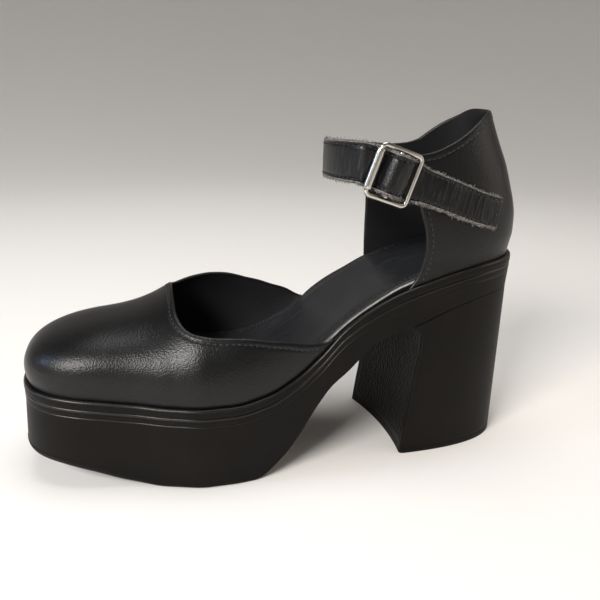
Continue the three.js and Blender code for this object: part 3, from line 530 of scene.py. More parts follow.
# Share of the length; height over the rim; place across as a share of the ball; squareness.
CREST = [
    (0.3967, 0.93, -0.045, 2.0),
    (0.4939, 1.165, -0.07, 2.0),
    (0.5762, 1.205, -0.105, 2.0),
    (0.6585, 1.07, -0.116, 2.0),
    (0.7121, 0.924, -0.095, 2.0),
    (0.7547, 0.794, -0.08, 2.15),
    (0.7924, 0.709, -0.06, 2.35),
    (0.842, 0.637, -0.046, 2.5),
    (1.0, 0.46, -0.04, 2.8),
]
# Order round the throat from the outer end; share of the length; turn from the outer feather line, -1, over
# the crest, 0, to the inner one, 1.
TOPLINE = [
    (0.4195, -1), (0.4542, -0.9), (0.486, -0.82), (0.5246, -0.738), (0.5633, -0.683), (0.6, -0.641),
    (0.6536, -0.587), (0.6883, -0.514), (0.7042, -0.423), (0.7121, -0.28), (0.7131, -0.05), (0.7121, 0.17),
    (0.7022, 0.31), (0.6794, 0.35), (0.6357, 0.4), (0.603, 0.453), (0.5584, 0.536), (0.5246, 0.606),
    (0.4909, 0.7), (0.4552, 0.81), (0.4146, 1),
]  # fmt: skip
crest_height = smooth_line(CREST, 1)
crest_across = smooth_line(CREST, 2)
squareness = smooth_line(CREST, 3)
topline_at = smooth_line([(i, *row) for i, row in enumerate(TOPLINE)], 1)
topline_turn = smooth_line([(i, *row) for i, row in enumerate(TOPLINE)], 2)
THROAT = next(i / 1000 for i in range(20000) if topline_turn(i / 1000) >= 0)


def vamp_point(turn, lift, inset=0.0):
    """On the vamp: the turn is the rim's, and lift runs from 0 on the feather line to pi / 2 on the crest."""
    x = LENGTH * (1 - cos(turn)) / 2
    spine_x = min(x, SPINE_END * LENGTH)
    spine = Vector((spine_x, crest_across(spine_x / LENGTH) * BALL))
    power = 2 / squareness(x / LENGTH)
    share = 1 - max(0.0, cos(lift)) ** power
    flat = rim_inset(turn, FEATHER + inset) * (1 - share) + spine * share
    flat += rim_normal(turn) * VAMP_BULGE * max(0.0, sin(2 * lift)) ** 0.6
    top = rim_z(flat.x) + crest_height(flat.x / LENGTH) * VAMP_HEIGHT - inset
    return Vector((flat.x, flat.y, rim_z(x) + (top - rim_z(x)) * sin(lift) ** power))


def topline_spot(order):
    """Turn and lift of the topline at an order."""
    turn = turn_of(topline_at(order) * LENGTH)
    lift = max(0.02, (1 - abs(topline_turn(order))) * pi / 2)
    return (turn if order <= THROAT else -turn), lift


def vamp_line(side, r):
    """Top and bottom of one line down the vamp: r up to 1 follows the topline, and then the crest."""
    if r <= 1:
        turn, lift = topline_spot(THROAT * r if side > 0 else 20 - (20 - THROAT) * r)
        turn = abs(turn)
        if r == 1:
            lift = pi / 2
    else:
        first = turn_of(topline_at(THROAT) * LENGTH)
        turn, lift = first + (pi - first) * (r - 1), pi / 2
    lead = clamp((r - 0.4) / 0.6) if r <= 1 else 2 - r
    return turn, lift, turn + FOOT_LEAD * lead**1.5 * min(1.0, r * 3)


def vamp_spot(side, r, w):
    turn, lift, foot = vamp_line(side, r)
    return side * (foot + (turn - foot) * w), lift * w


topline_edge = [vamp_point(*topline_spot(order)) for order in spread(0, 20, 400)]


def edge_gap(point, edge):
    return min((point - spot).length_squared for spot in edge) ** 0.5


# Depth under a turned edge and how far the leather stands off there: the fold and the stitch's channel.
TURNED_EDGE = [
    (0.0, 0.0), (0.5, 0.16), (1.1, 0.2), (1.7, 0.06), (2.2, -0.16), (2.7, -0.06), (3.6, 0.04), (5.5, 0.0),
]  # fmt: skip
fold = smooth_line(TURNED_EDGE, 1)


def vamp_place(side, inner):
    def place(r, w):
        turn, lift = vamp_spot(side, r, clamp(w))
        if w < 0:
            foot = vamp_point(turn, 0.0, WALL if inner else 0.0)
            low = bed_z(LENGTH * (1 - cos(turn)) / 2) + SEAM
            return foot.x, foot.y, foot.z + (low - foot.z) * -w
        if inner:
            return vamp_point(turn, lift, WALL)
        spot = vamp_point(turn, lift)
        if w < 0.35 or r > 1.7:
            return spot
        out = (spot - vamp_point(turn, lift, WALL)).normalized()
        return spot + out * fold(edge_gap(spot, topline_edge))

    return place


def rolled_edge(outer, inner, ahead, below, angle):
    """Half round over a cut edge: from the outer skin at -90 degrees to the inner one at 90."""
    out = (outer - inner) / 2
    over = ahead.cross(out).normalized() * out.length
    if over.dot(below) > 0:
        over.negate()
    return (outer + inner) / 2 - out * sin(angle) + over * cos(angle)


def topline_roll(order, angle):
    turn, lift = topline_spot(order)
    if abs(order - THROAT) < 1e-6:
        lift = pi / 2
    outer, inner = vamp_point(turn, lift), vamp_point(turn, lift, WALL)
    before, after = topline_spot(max(0, order - 0.05)), topline_spot(min(20, order + 0.05))
    ahead = vamp_point(*after) - vamp_point(*before)
    side = 1 if order <= THROAT else -1
    r = order / THROAT if side > 0 else (20 - order) / (20 - THROAT)
    below = vamp_point(*vamp_spot(side, r, 0.93)) - outer
    return rolled_edge(outer, inner, ahead, below, angle)


# Calf: deep black with a soft satin shine, a fine grain and very slight waves.
calf, tree, shader, coords = new_material("smooth black calf leather")
patches = add_noise(tree, coords, 28.0, 3.0)
tone = two_tones(tree, patches, "#070708", "#0c0c0d")
grain = add_node(tree, "ShaderNodeTexVoronoi", {"Vector": coords, "Scale": 1500.0}, feature="SMOOTH_F1")
cells = add_bump(tree, grain.outputs[0], 0.5, 0.00022)
waves = add_bump(tree, add_noise(tree, coords, 90.0), 0.1, 0.001, cells)
shine = add_range(tree, patches, "To", 0.3, 0.38)
fill(tree, shader, {"Base Color": tone, "Normal": waves, "Roughness": shine, "Specular IOR Level": 0.33})

# Lining: dull dark grey with a slight nap, so that the inside stays flatter than the calf.
lining, tree, shader, coords = new_material("dark grey lining leather")
tone = two_tones(tree, add_noise(tree, coords, 70.0, 6.0), "#0a0a0c", "#131315")
nap = add_bump(tree, add_noise(tree, coords, 900.0, 3.0), 0.25, 0.0003)
fill(tree, shader, {"Base Color": tone, "Normal": nap, "Roughness": 0.55})

drops = [0, 0.006, 0.012, 0.02, 0.028, 0.037, 0.046, 0.056, 0.067, 0.08, 0.096, 0.115, 0.14, 0.17]
downs = [1 - d for d in drops] + spread(0.8, 0.0, 26) + [-0.5, -1.0]
lines = spread(0, 1, 120) + spread(1, 2, 80)[1:]
shape = bmesh.new()
for side in (1, -1):
    skin(shape, lines, downs, vamp_place(side, False))
    skin(shape, lines, downs, vamp_place(side, True), 1)
    skin(
        shape,
        lines,
        [0, 1],
        lambda r, v, side=side: Vector(vamp_place(side, False)(r, -1)) * (1 - v)
        + Vector(vamp_place(side, True)(r, -1)) * v,
        1,
    )
orders = [THROAT * r for r in spread(0, 1, 120)] + [20 - (20 - THROAT) * r for r in spread(1, 0, 120)][1:]
skin(shape, orders, spread(-pi / 2, pi / 2, 8), topline_roll)
vamp = add_piece("vamp_leather", shape, [calf, lining], ["vamp"], crisp=50)

# Quarter: the high counter round the heel, of the same calf over a stiffener, lined. It is a grid from the
# outer front edge round the back to the inner one, in two skins with rolled edges.
QUARTER_HEIGHT = 68.0
HINGE = 0.3084 * LENGTH
# Level over the seat; how far the back lies in, as a share of the seat; width against the rim.
QUARTER = [
    (-0.3, 0.0, 1.0),
    (0.0, 0.0, 1.0),
    (0.08, -0.012, 1.01),
    (0.16, -0.026, 1.015),
    (0.272, -0.022, 1.01),
    (0.36, -0.006, 0.995),
    (0.493, 0.036, 0.955),
    (0.64, 0.09, 0.915),
    (0.757, 0.146, 0.87),
    (0.875, 0.2, 0.82),
    (1.0, 0.25, 0.75),
    (1.12, 0.29, 0.68),
]
# Share of the length; the collar's height outside and inside.
COLLAR = [
    (0.0, 1.02, 1.02),
    (0.0774, 1.0, 1.0),
    (0.0992, 0.981, 0.945),
    (0.124, 0.931, 0.89),
    (0.1478, 0.875, 0.825),
    (0.1726, 0.822, 0.757),
    (0.1974, 0.78, 0.731),
    (0.2301, 0.737, 0.722),
    (0.2975, 0.7, 0.74),
]
# Level over the seat; the front edge outside and inside, as shares of the length.
FRONT = [
    (-0.4, 0.2727, 0.2698),
    (-0.2, 0.2628, 0.2698),
    (-0.1, 0.245, 0.2708),
    (0.0, 0.236, 0.2717),
    (0.1, 0.2326, 0.2717),
    (0.19, 0.2346, 0.2717),
    (0.375, 0.2489, 0.2737),
    (0.55, 0.2618, 0.2777),
    (1.2, 0.2975, 0.3074),
]
quarter_back = smooth_line(QUARTER, 1)
quarter_wide = smooth_line(QUARTER, 2)
collar = {1: smooth_line(COLLAR, 1), -1: smooth_line(COLLAR, 2)}
front = {1: smooth_line(FRONT, 1), -1: smooth_line(FRONT, 2)}


def level_z(up):
    return SEAT_HEIGHT + up * QUARTER_HEIGHT


def quarter_flat(turn, up):
    spot = rim_inset(turn, FEATHER)
    back = FEATHER + quarter_back(up) * SEAT
    x = back + (spot.x - FEATHER) * (HINGE - back) / (HINGE - FEATHER)
    return Vector((x, spot.y * quarter_wide(up)))


def quarter_point(turn, z, inset=0.0):
    up = (z - SEAT_HEIGHT) / QUARTER_HEIGHT
    run = quarter_flat(turn + 0.02, up) - quarter_flat(turn - 0.02, up)
    flat = quarter_flat(turn, up) - Vector((-run.y, run.x)).normalized() * inset
    return Vector((flat.x, flat.y, z))


def quarter_turn(x, z, side):
    """The turn at which the quarter's surface is at x on one side."""
    low, high = 0.0, turn_of(0.4 * LENGTH)
    for _ in range(24):
        middle = (low + high) / 2
        if quarter_flat(side * middle, (z - SEAT_HEIGHT) / QUARTER_HEIGHT).x < x:
            low = middle
        else:
            high = middle
    return low


fronts = {
    side: smooth_line(
        [(up, quarter_turn(front[side](up) * LENGTH, level_z(up), side)) for up in spread(-0.4, 1.2, 40)],
        1,
    )
    for side in (1, -1)
}


def quarter_spot(g, h):
    """Turn and height at a share round the quarter, -1 to 1, and a share up it."""
    side = 1 if g >= 0 else -1
    z = level_z(0.5)
    for _ in range(7):
        turn = g * fronts[side]((z - SEAT_HEIGHT) / QUARTER_HEIGHT)
        flat = quarter_flat(turn, (z - SEAT_HEIGHT) / QUARTER_HEIGHT)
        blend = clamp(0.5 + flat.y / (SEAT * 0.3))
        low = bed_z(flat.x) + SEAM
        at = flat.x / LENGTH
        high = level_z(collar[1](at) * blend + collar[-1](at) * (1 - blend))
        z = low + h * (high - low)
    return turn, z


def on_skin(g, h, inset=0.0):
    return quarter_point(*quarter_spot(g, h), inset)


cut_edge = [on_skin(1, h) for h in spread(0, 1, 60)]
cut_edge += [on_skin(g, 1) for g in spread(1, -1, 160)]
cut_edge += [on_skin(-1, h) for h in spread(1, 0, 60)]


def quarter_outer(g, h):
    turn, z = quarter_spot(g, h)
    spot = quarter_point(turn, z)
    if h < 0.75 and abs(g) < 0.75:
        return spot
    out = (spot - quarter_point(turn, z, WALL)).normalized()
    return spot + out * fold(edge_gap(spot, cut_edge)) * 0.8


def quarter_roll(g, h, ahead_g, ahead_h, angle):
    outer, inner = on_skin(g, h), on_skin(g, h, WALL)
    after = on_skin(min(1, g + ahead_g), min(1, h + ahead_h))
    before = on_skin(max(-1, g - ahead_g), max(0, h - ahead_h))
    below = on_skin(g * 0.97, h * 0.97) - outer
    corner = clamp((abs(g) - 0.97) / 0.03) * clamp((h - 0.97) / 0.03)
    ahead = (after - before).normalized()
    if corner > 0:
        diagonal = (below.cross(outer - inner)).normalized()
        if diagonal.dot(ahead) < 0:
            diagonal.negate()
        ahead = ahead.lerp(diagonal, corner)
    return rolled_edge(outer, inner, ahead, below, angle)


rounds = [*[-1, -0.995, -0.988, -0.98, -0.97, -0.958, -0.944], *spread(-0.93, 0.93, 120)]
rounds += [0.944, 0.958, 0.97, 0.98, 0.988, 0.995, 1]
ups = spread(0, 0.9, 44) + [0.915, 0.93, 0.942, 0.952, 0.96, 0.967, 0.974, 0.98, 0.986, 0.992, 0.997, 1]
angles = spread(-pi / 2, pi / 2, 8)
shape = bmesh.new()
skin(shape, rounds, ups, quarter_outer)
skin(shape, rounds, ups, lambda g, h: on_skin(g, h, WALL), 1)
skin(shape, rounds, angles, lambda g, angle: quarter_roll(g, 1, 0.01, 0, angle))
skin(shape, ups, angles, lambda h, angle: quarter_roll(1, h, 0, 0.01, angle))
skin(shape, ups, angles, lambda h, angle: quarter_roll(-1, h, 0, 0.01, angle))
skin(shape, rounds, [0, 1], lambda g, v: on_skin(g, 0, WALL * v), 1)
quarter = add_piece("quarter_leather", shape, [calf, lining], ["quarter"], crisp=50)

# Ankle strap: two layers of the calf stitched along both edges, 16.5 mm wide, its raw edges a little fuzzy.
# A band is swept from inside the inner quarter round the ankle, through the buckle and down to its tail.
STRAP_WIDTH = 16.5
STRAP = 2.0
BUCKLE_LENGTH = 22.0
TILT = radians(18.9)
BUCKLE_AT = Vector((0.3213 * LENGTH, 0.531 * SEAT, level_z(0.616)))
ALONG = Vector((-cos(TILT), 0, -sin(TILT)))
BAR = Vector((-sin(TILT), 0, cos(TILT)))
OUT = Vector((0, 1, 0))
# Share of the length and level: the root; then the loop with its place across as a share of the seat.
STRAP_ROOT = [(0.1835, 0.597), (0.2083, 0.602), (0.238, 0.608)]
STRAP_LOOP = [
    (0.2737, -0.342, 0.612), (0.3094, -0.356, 0.618), (0.3471, -0.325, 0.634), (0.3808, -0.22, 0.651),
    (0.4017, -0.08, 0.666), (0.4096, 0.1, 0.68), (0.4056, 0.28, 0.69), (0.3917, 0.41, 0.694),
]  # fmt: skip
# Through the buckle: along as a share of its length, out in strap thicknesses.
STRAP_IN_BUCKLE = [
    (-0.63, -1.5), (-0.45, -1.66), (-0.34, -1.55), (-0.25, -0.95), (-0.2, -0.1), (-0.158, 0.85),
    (-0.088, 1.5), (0, 1.72), (0.088, 1.55), (0.165, 1.15), (0.235, 0.55), (0.3, -0.15), (0.355, -0.9),
    (0.43, -1.4), (0.6, -1.5),
]  # fmt: skip
# The tail on the outer quarter: share of the length, level, distance off the quarter in thicknesses.
STRAP_TAIL = [
    (0.2539, 0.53, 1.55), (0.238, 0.51, 1.5), (0.2083, 0.471, 1.5), (0.1865, 0.444, 1.15),
    (0.1636, 0.414, 0.8), (0.1289, 0.37, 0.7), (0.0853, 0.328, 0.7),
]  # fmt: skip


def in_buckle(along, out, bar=0.0):
    return BUCKLE_AT + ALONG * along + OUT * out + BAR * bar


def on_quarter(x, z, side, off):
    turn = side * quarter_turn(x, z, side)
    ahead = quarter_point(turn + 0.01, z) - quarter_point(turn - 0.01, z)
    up = quarter_point(turn, z + 1) - quarter_point(turn, z - 1)
    out = up.cross(ahead).normalized()
    return quarter_point(turn, z) + out * off, out


def sweep_line(keys, spacing):
    """Middle, out and across directions along a smooth line through keys, and the length so far."""
    spots = [key[0] for key in keys]
    spots = [spots[0] * 2 - spots[1], *spots, spots[-1] * 2 - spots[-2]]

    def at(share):
        i = min(int(share), len(keys) - 2)
        t = share - i
        p = spots[i : i + 4]
        gaps = [max(1e-4, (p[k + 1] - p[k]).length_squared ** 0.25) for k in range(3)]
        start, end = (
            (
                (p[k + 1] - p[k]) / gaps[k]
                - (p[k + 2] - p[k]) / (gaps[k] + gaps[k + 1])
                + (p[k + 2] - p[k + 1]) / gaps[k + 1]
            )
            * gaps[1]
            for k in (0, 1)
        )
        return (
            p[1]
            + start * t
            + (p[2] * 3 - p[1] * 3 - start * 2 - end) * t * t
            + (p[1] * 2 - p[2] * 2 + start + end) * t**3
        )

    shares = []
    for i in range(len(keys) - 1):
        count = max(2, round((keys[i + 1][0] - keys[i][0]).length / spacing))
        shares += [i + k / count for k in range(count)]
    shares.append(len(keys) - 1.0)
    line = []
    run = 0.0
    for share in shares:
        spot = at(share)
        tangent = (at(min(share + 0.01, len(keys) - 1)) - at(max(share - 0.01, 0))).normalized()
        i = min(int(share), len(keys) - 2)
        out = keys[i][1].lerp(keys[i + 1][1], share - i)
        out = (out - tangent * out.dot(tangent)).normalized()
        if line:
            run += (spot - line[-1][0]).length
        line.append((spot, out, tangent.cross(out), run))
    return line


def along_line(line, run):
    """Middle, out and across directions at one length along a line."""
    stops = [spot[3] for spot in line]
    i = min(max(bisect_left(stops, run), 1), len(stops) - 1)
    t = (run - stops[i - 1]) / max(1e-9, stops[i] - stops[i - 1])
    return [line[i - 1][k].lerp(line[i][k], t) for k in range(3)]


def swept(shape, line, section, end_round, form=None, more_stops=()):
    """A section moved along a line, its ends rounded and covered; form(run, across, out) may reshape it."""
    length = line[-1][3]
    stops = sorted({0.0, length, *more_stops, *[spot[3] for spot in line[1:-1]]})
    if end_round:
        close = [end_round * f for f in (0.0, 0.1, 0.3, 0.6, 1.0)]
        inner = [s for s in stops if end_round < s < length - end_round]
        stops = close + inner + [length - s for s in close[::-1]]

    def place(run, k):
        middle, out, across = along_line(line, min(max(run, 0.0), length))
        a, o = section[int(k) % len(section)]
        if form:
            a, o = form(run, a, o)
        near = min(run, length - run)
        squeeze = 1.0
        if run < 0 or run > length:
            a, o = 0.0, 0.0
        elif end_round and near < end_round:
            squeeze = 0.55 + 0.45 * sqrt(1 - (1 - near / end_round) ** 2)
        return middle + across * a + out * o * squeeze

    skin(shape, [-1.0, *stops, length + 1.0], list(range(len(section) + 1)), place)


# Distance in from the strap's edge and rise of its face there: the raw lip, the stitch channel, the crown.
STRAP_FACE = [
    (0.75, 0.02), (1.1, 0.06), (1.4, -0.02), (1.65, -0.2), (1.95, -0.26), (2.25, -0.16), (2.6, 0.02),
    (3.2, 0.08), (4.2, 0.1), (5.2, 0.11), (6.2, 0.12), (7.2, 0.13), (8.25, 0.13),
]  # fmt: skip


def band_section(width, thickness, face):
    """A flat band's section with rounded edges, from the lower face round to the upper one."""
    w, t, r = width / 2, thickness / 2, thickness * 0.32
    edge = [(w - r + r * sin(a), -t + r - r * cos(a)) for a in spread(0, pi / 2, 3)]
    edge += [(w - r + r * cos(a), t - r + r * sin(a)) for a in spread(pi / 2, 0, 3)][::-1]
    top = [(w - inset, t + lift) for inset, lift in face if inset > r]
    top += [(-a, o) for a, o in reversed(top[:-1])]
    other = [(-a, o) for a, o in reversed(edge)]
    bottom = [(-a, -o) for a, o in top]
    return edge + top + other + bottom


keys = [on_quarter(at * LENGTH, level_z(up), -1, -(WALL + SEAM + 0.4 + STRAP / 2)) for at, up in STRAP_ROOT]
loop = [Vector((at * LENGTH, across * SEAT, level_z(up))) for at, across, up in STRAP_LOOP]
inside = [in_buckle(a * BUCKLE_LENGTH, o * STRAP, 0.35 - a * 0.4) for a, o in STRAP_IN_BUCKLE]
chain = [keys[-1][0], *loop, inside[0]]
keys = [(spot, out) for spot, out in keys]
for i, spot in enumerate(loop):
    ahead = chain[i + 2] - chain[i]
    keys.append((spot, ahead.cross(Vector((0, 0, 1))).normalized()))
keys += [(spot, OUT) for spot in inside]
keys += [on_quarter(at * LENGTH, level_z(up), 1, off * STRAP) for at, up, off in STRAP_TAIL]
strap_line = sweep_line(keys, 1.2)

# Run along the strap, slant across it, rise and half breadth of each crease that wear has pressed into it.
STRAP_CREASES = [
    (138.2, -0.02, 0.16, 0.5), (141.8, 0.05, 0.12, 0.4), (147.2, 0.03, 0.32, 0.55), (151.0, -0.04, 0.12, 0.4),
    (154.9, 0.03, 0.2, 0.45), (159.4, 0.0, 0.14, 0.4), (162.2, 0.05, 0.22, 0.5), (166.8, -0.02, 0.2, 0.45),
    (170.4, 0.05, 0.2, 0.5), (174.6, 0.0, 0.1, 0.4), (118.6, 0.02, 0.12, 0.6), (88.4, 0.04, 0.1, 0.5),
]  # fmt: skip
# Run along the strap and its width there, as a share: narrow at the root, pulled wide in the buckle.
STRAP_BREADTH = [
    (0, 0.72), (14, 0.75), (32, 1.0), (60, 1.05), (104, 1.13), (128, 1.14), (140, 0.95), (190, 0.93),
]  # fmt: skip
strap_wide = smooth_line(STRAP_BREADTH, 1)


def strap_form(run, across, out):
    across *= strap_wide(run)
    if out > 0 and abs(across) < 7.4:
        for middle, slant, lift, half in STRAP_CREASES:
            out += lift * 0.75 * exp(-(((run - middle - slant * across) / half) ** 2))
    return across, out


# Strap calf: the same leather with fine wrinkles across the band, and a painted highlight: grey mixed in
# where the wrinkles rise.
strap_calf = calf.copy()
strap_calf.name = "black strap calf leather"
tree = strap_calf.node_tree
shader = tree.nodes["Principled BSDF"]
smooth = shader.inputs["Normal"].links[0].from_socket
black = shader.inputs["Base Color"].links[0].from_socket
along = add_node(tree, "ShaderNodeTexCoord")
pulled = add_node(tree, "ShaderNodeMapping", {"Vector": along.outputs["UV"], "Scale": (1.1, 0.09, 1.0)})
pinched = add_noise(tree, pulled.outputs[0], 1.0, 3.0)
wrinkles = add_bump(tree, pinched, 0.15, 0.0005, smooth)
# Painted highlight: the raised parts of the wrinkles are painted grey, as light would catch them.
crease_highlight_mask = add_range(tree, pinched, "From", 0.56, 0.8)
crease_highlight_colour = add_node(tree, "ShaderNodeMix", {0: crease_highlight_mask, 6: black, 7: linear("#3a3c3f")}, data_type="RGBA")
fill(tree, shader, {"Normal": wrinkles, "Base Color": crease_highlight_colour.outputs[2]})

# Raw edge: rough fibres of the cut, lighter than the dyed face.
raw_edge, tree, shader, coords = new_material("raw cut leather edge")
fuzz = add_noise(tree, coords, 1300.0, 4.0)
tone = two_tones(tree, fuzz, "#1c1a1b", "#8a8580", 0.35, 0.7)
rough = add_bump(tree, fuzz, 0.7, 0.0004)
fill(tree, shader, {"Base Color": tone, "Normal": rough, "Roughness": 0.8})

shape = bmesh.new()
section = band_section(STRAP_WIDTH, STRAP, STRAP_FACE)
near_creases = [
    middle + half * step
    for middle, _, _, half in STRAP_CREASES
    for step in (-1.5, -1, -0.5, 0, 0.5, 1, 1.5)
]
swept(shape, strap_line, section, 0.6, strap_form, near_creases)
second_finish(shape, (-1, 8.9), (32.1, 41.9))
strap = add_piece("ankle_strap", shape, [strap_calf, raw_edge], ["strap"], crisp=50)

# Frayed fibres of the strap's raw edges, drawn about 0.2 mm thick, coarser than real, so that they show.
# Their grey stands out from the black band.
FRAY_FROM = 44.0
FRAY_STEP = 0.19
frayed, tree, shader, coords = new_material("frayed leather fibres")
tone = two_tones(tree, add_noise(tree, coords, 900.0), "#3a3837", "#a9a5a0", 0.4, 0.62)
fill(tree, shader, {"Base Color": tone, "Roughness": 0.75})


def add_cone(shape, middle, ahead, length, foot, tip, sides, closed=False):
    """A cone of this length round a middle; foot and tip are its radii, all in millimetres."""
    turn = ahead.to_track_quat("Z", "Y").to_matrix().to_4x4()
    bmesh.ops.create_cone(
        shape,
        cap_ends=closed,
        segments=sides,
        radius1=foot / 1000,
        radius2=tip / 1000,
        depth=length / 1000,
        matrix=Matrix.Translation(in_row(middle)) @ turn,
    )


fraying = Random(11)
shape = bmesh.new()
run = FRAY_FROM
while run < strap_line[-1][3] - 0.5:
    middle, out, across = along_line(strap_line, run)
    ahead = across.cross(out)
    for side in (1, -1):
        if fraying.random() < 0.25:
            continue
        reach = strap_form(run, STRAP_WIDTH / 2, 0)[0] - 0.15
        foot = middle + across * side * reach + out * fraying.uniform(-0.7, 0.8)
        lean = across * side + ahead * fraying.uniform(-1.3, 1.3) + out * fraying.uniform(-0.5, 0.5)
        lean.normalize()
        long = fraying.uniform(0.5, 1.1) + (fraying.random() < 0.12) * fraying.uniform(0.3, 0.9)
        add_cone(shape, foot + lean * long / 2, lean, long, 0.12, 0.05, 3)
    run += FRAY_STEP
middle, out, across = along_line(strap_line, strap_line[-1][3])
ahead = across.cross(out)
reach = strap_form(run, STRAP_WIDTH / 2, 0)[0]
for share in spread(-0.96, 0.96, 80):
    foot = middle + across * share * reach + out * fraying.uniform(-0.6, 0.7) - ahead * 0.3
    lean = ahead + across * fraying.uniform(-1.0, 1.0) + out * fraying.uniform(-0.5, 0.5)
    lean.normalize()
    long = fraying.uniform(0.5, 1.1)
    add_cone(shape, foot + lean * long / 2, lean, long, 0.12, 0.05, 3)
add_piece("strap_frayed_fibres", shape, [frayed], crisp=80)

# Holes punched in the strap for other fits: shallow round discs on its face, painted nearly black. The black
# is painted shade that stands for the depth of the openings.
HOLES = (139.9, 146.2)
hole_shade_paint, tree, shader, coords = new_material("painted shade in a punched hole")
tone = two_tones(tree, add_noise(tree, coords, 1500.0), "#010101", "#0b0a0a")
fill(tree, shader, {"Base Color": tone, "Roughness": 0.95})
shape = bmesh.new()
for run in HOLES:
    middle, out, across = along_line(strap_line, run)
    add_cone(shape, middle + across * 0.5 + out * (STRAP / 2 + 0.12), out, 0.5, 0.85, 0.75, 20, True)
add_piece("strap_hole_shade_discs", shape, [hole_shade_paint], crisp=40)

# Buckle tab: a short fold of the calf, 13 mm wide, that holds the buckle's middle bar. It is swept from
# under the tail round the bar.
TAB = 1.3
TAB_WIDTH = 13.0
TAB_FACE = [(0.6, 0.0), (1.6, 0.03), (3.2, 0.05), (4.8, 0.05), (6.5, 0.05)]
TAB_ROOT = [(0.2063, 0.448), (0.2301, 0.475), (0.2519, 0.501)]
TAB_LOOP = [
    (0.6, -3.95), (0.42, -3.85), (0.2, -2.7), (0.045, -2.27), (-0.069, -1.8), (-0.1, -0.62),
    (-0.069, 0.56), (0, 1.04), (0.055, 0.82), (0.12, 0.12), (0.168, -0.48),
]  # fmt: skip
tab_keys = [on_quarter(at * LENGTH, level_z(up), 1, SEAM + TAB / 2) for at, up in TAB_ROOT]
tab_loop = [in_buckle(a * BUCKLE_LENGTH, o * TAB) for a, o in TAB_LOOP]
for i, spot in enumerate(tab_loop):
    ahead = tab_loop[min(i + 1, len(tab_loop) - 1)] - tab_loop[max(i - 1, 0)]
    tab_keys.append((spot, BAR.cross(ahead).normalized()))
tab_line = sweep_line(tab_keys, 0.7)
shape = bmesh.new()
swept(shape, tab_line, band_section(TAB_WIDTH, TAB, TAB_FACE), 0.4)
add_piece("buckle_tab_leather", shape, [strap_calf], ["buckle_tab"], crisp=50)

# Buckle: a nickel-plated and polished steel frame with a middle bar, a loose roller on the strap's side and
# a wire prong. Each is a round wire swept along its run.
WIRE = 2.2
BUCKLE_WIDTH = 24.8
CORNER = 3.2
ROLLER = 4.0
BAR_DEPTH = -0.8
# Steel: bright plating with a faint haze that softens what it mirrors.
steel, tree, shader, coords = new_material("polished nickel-plated steel")
shine = add_range(tree, add_noise(tree, coords, 300.0, 4.0), "To", 0.1, 0.24)
fill(tree, shader, {"Roughness": shine, "Base Color": linear("#c9c5be"), "Metallic": 1.0})


def wire_section(diameter, sides=20):
    return [(cos(a) * diameter / 2, sin(a) * diameter / 2) for a in spread(0, 2 * pi, sides)[:-1]]


def rod(shape, start, end, diameter, rounding=0.35):
    ahead = (end - start).normalized()
    out = OUT - ahead * OUT.dot(ahead)
    out = (out if out.length > 0.3 else ALONG - ahead * ALONG.dot(ahead)).normalized()
    length = (end - start).length
    line = [(start + ahead * s, out, ahead.cross(out), s) for s in spread(0, length, 12)]
    swept(shape, line, wire_section(diameter), rounding)


half_length = BUCKLE_LENGTH / 2 - CORNER
half_width = BUCKLE_WIDTH / 2 - CORNER
bend = CORNER - WIRE / 2


def frame_place(angle, k):
    corner = int(angle // (pi / 2)) % 4
    turn = angle % (pi / 2) if angle < 2 * pi else 0
    start = corner * pi / 2
    sx = 1 if corner in (0, 3) else -1
    sy = 1 if corner in (0, 1) else -1
    bent = start + min(turn / 1.0, pi / 2)
    along = half_length * sx + bend * cos(bent)
    bar = half_width * sy + bend * sin(bent)
    across = ALONG * cos(bent) + BAR * sin(bent)
    a = 2 * pi * k / 20
    return in_buckle(along, 0, bar) + across * cos(a) * WIRE / 2 + OUT * sin(a) * WIRE / 2


shape = bmesh.new()
turns = []
for corner in range(4):
    turns += [corner * pi / 2 + t for t in spread(0, pi / 2 - 1e-6, 8)]
turns.append(2 * pi)
skin(shape, turns, list(range(21)), frame_place)
add_piece("buckle_frame_wire", shape, [steel], ["buckle_frame"], crisp=60)
shape = bmesh.new()
reach = (BUCKLE_WIDTH - WIRE) / 2
rod(shape, in_buckle(0, BAR_DEPTH, -reach), in_buckle(0, BAR_DEPTH, reach), WIRE)
add_piece("buckle_middle_bar", shape, [steel], crisp=60)
shape = bmesh.new()
roller_at = (WIRE - BUCKLE_LENGTH) / 2
roller = (BUCKLE_WIDTH - 2 * CORNER - SEAM) / 2
rod(shape, in_buckle(roller_at, 0, -roller), in_buckle(roller_at, 0, roller), ROLLER, 0.6)
add_piece("buckle_roller_tube", shape, [steel], ["buckle_roller"], crisp=60)
PRONG = 1.5
loop_radius = (WIRE + PRONG) / 2 + 0.25
shape = bmesh.new()


def prong_ring(angle, k):
    a = 2 * pi * k / 16
    out = ALONG * cos(angle) + OUT * sin(angle)
    middle = in_buckle(0, BAR_DEPTH) + out * loop_radius
    return middle + out * cos(a) * PRONG / 2 + BAR * sin(a) * PRONG / 2


skin(shape, spread(0, 2 * pi, 28), list(range(17)), prong_ring)
rod(
    shape,
    in_buckle(0.4, BAR_DEPTH - loop_radius),
    in_buckle(-0.385 * BUCKLE_LENGTH, -4.1 * PRONG),
    PRONG,
    0.5,
)
add_piece("buckle_prong_wire", shape, [steel], ["buckle_prong"], crisp=60)

# Stitching: waxed dark thread, each stitch a small bead laid along the edge that it holds. The wax gives
# each one a small glint.
thread = bpy.data.materials.new("waxed black thread")
thread.use_nodes = True
tree = thread.node_tree
fill(tree, tree.nodes["Principled BSDF"], {"Base Color": linear("#141315"), "Roughness": 0.35})


STITCH_INSET = 2.2


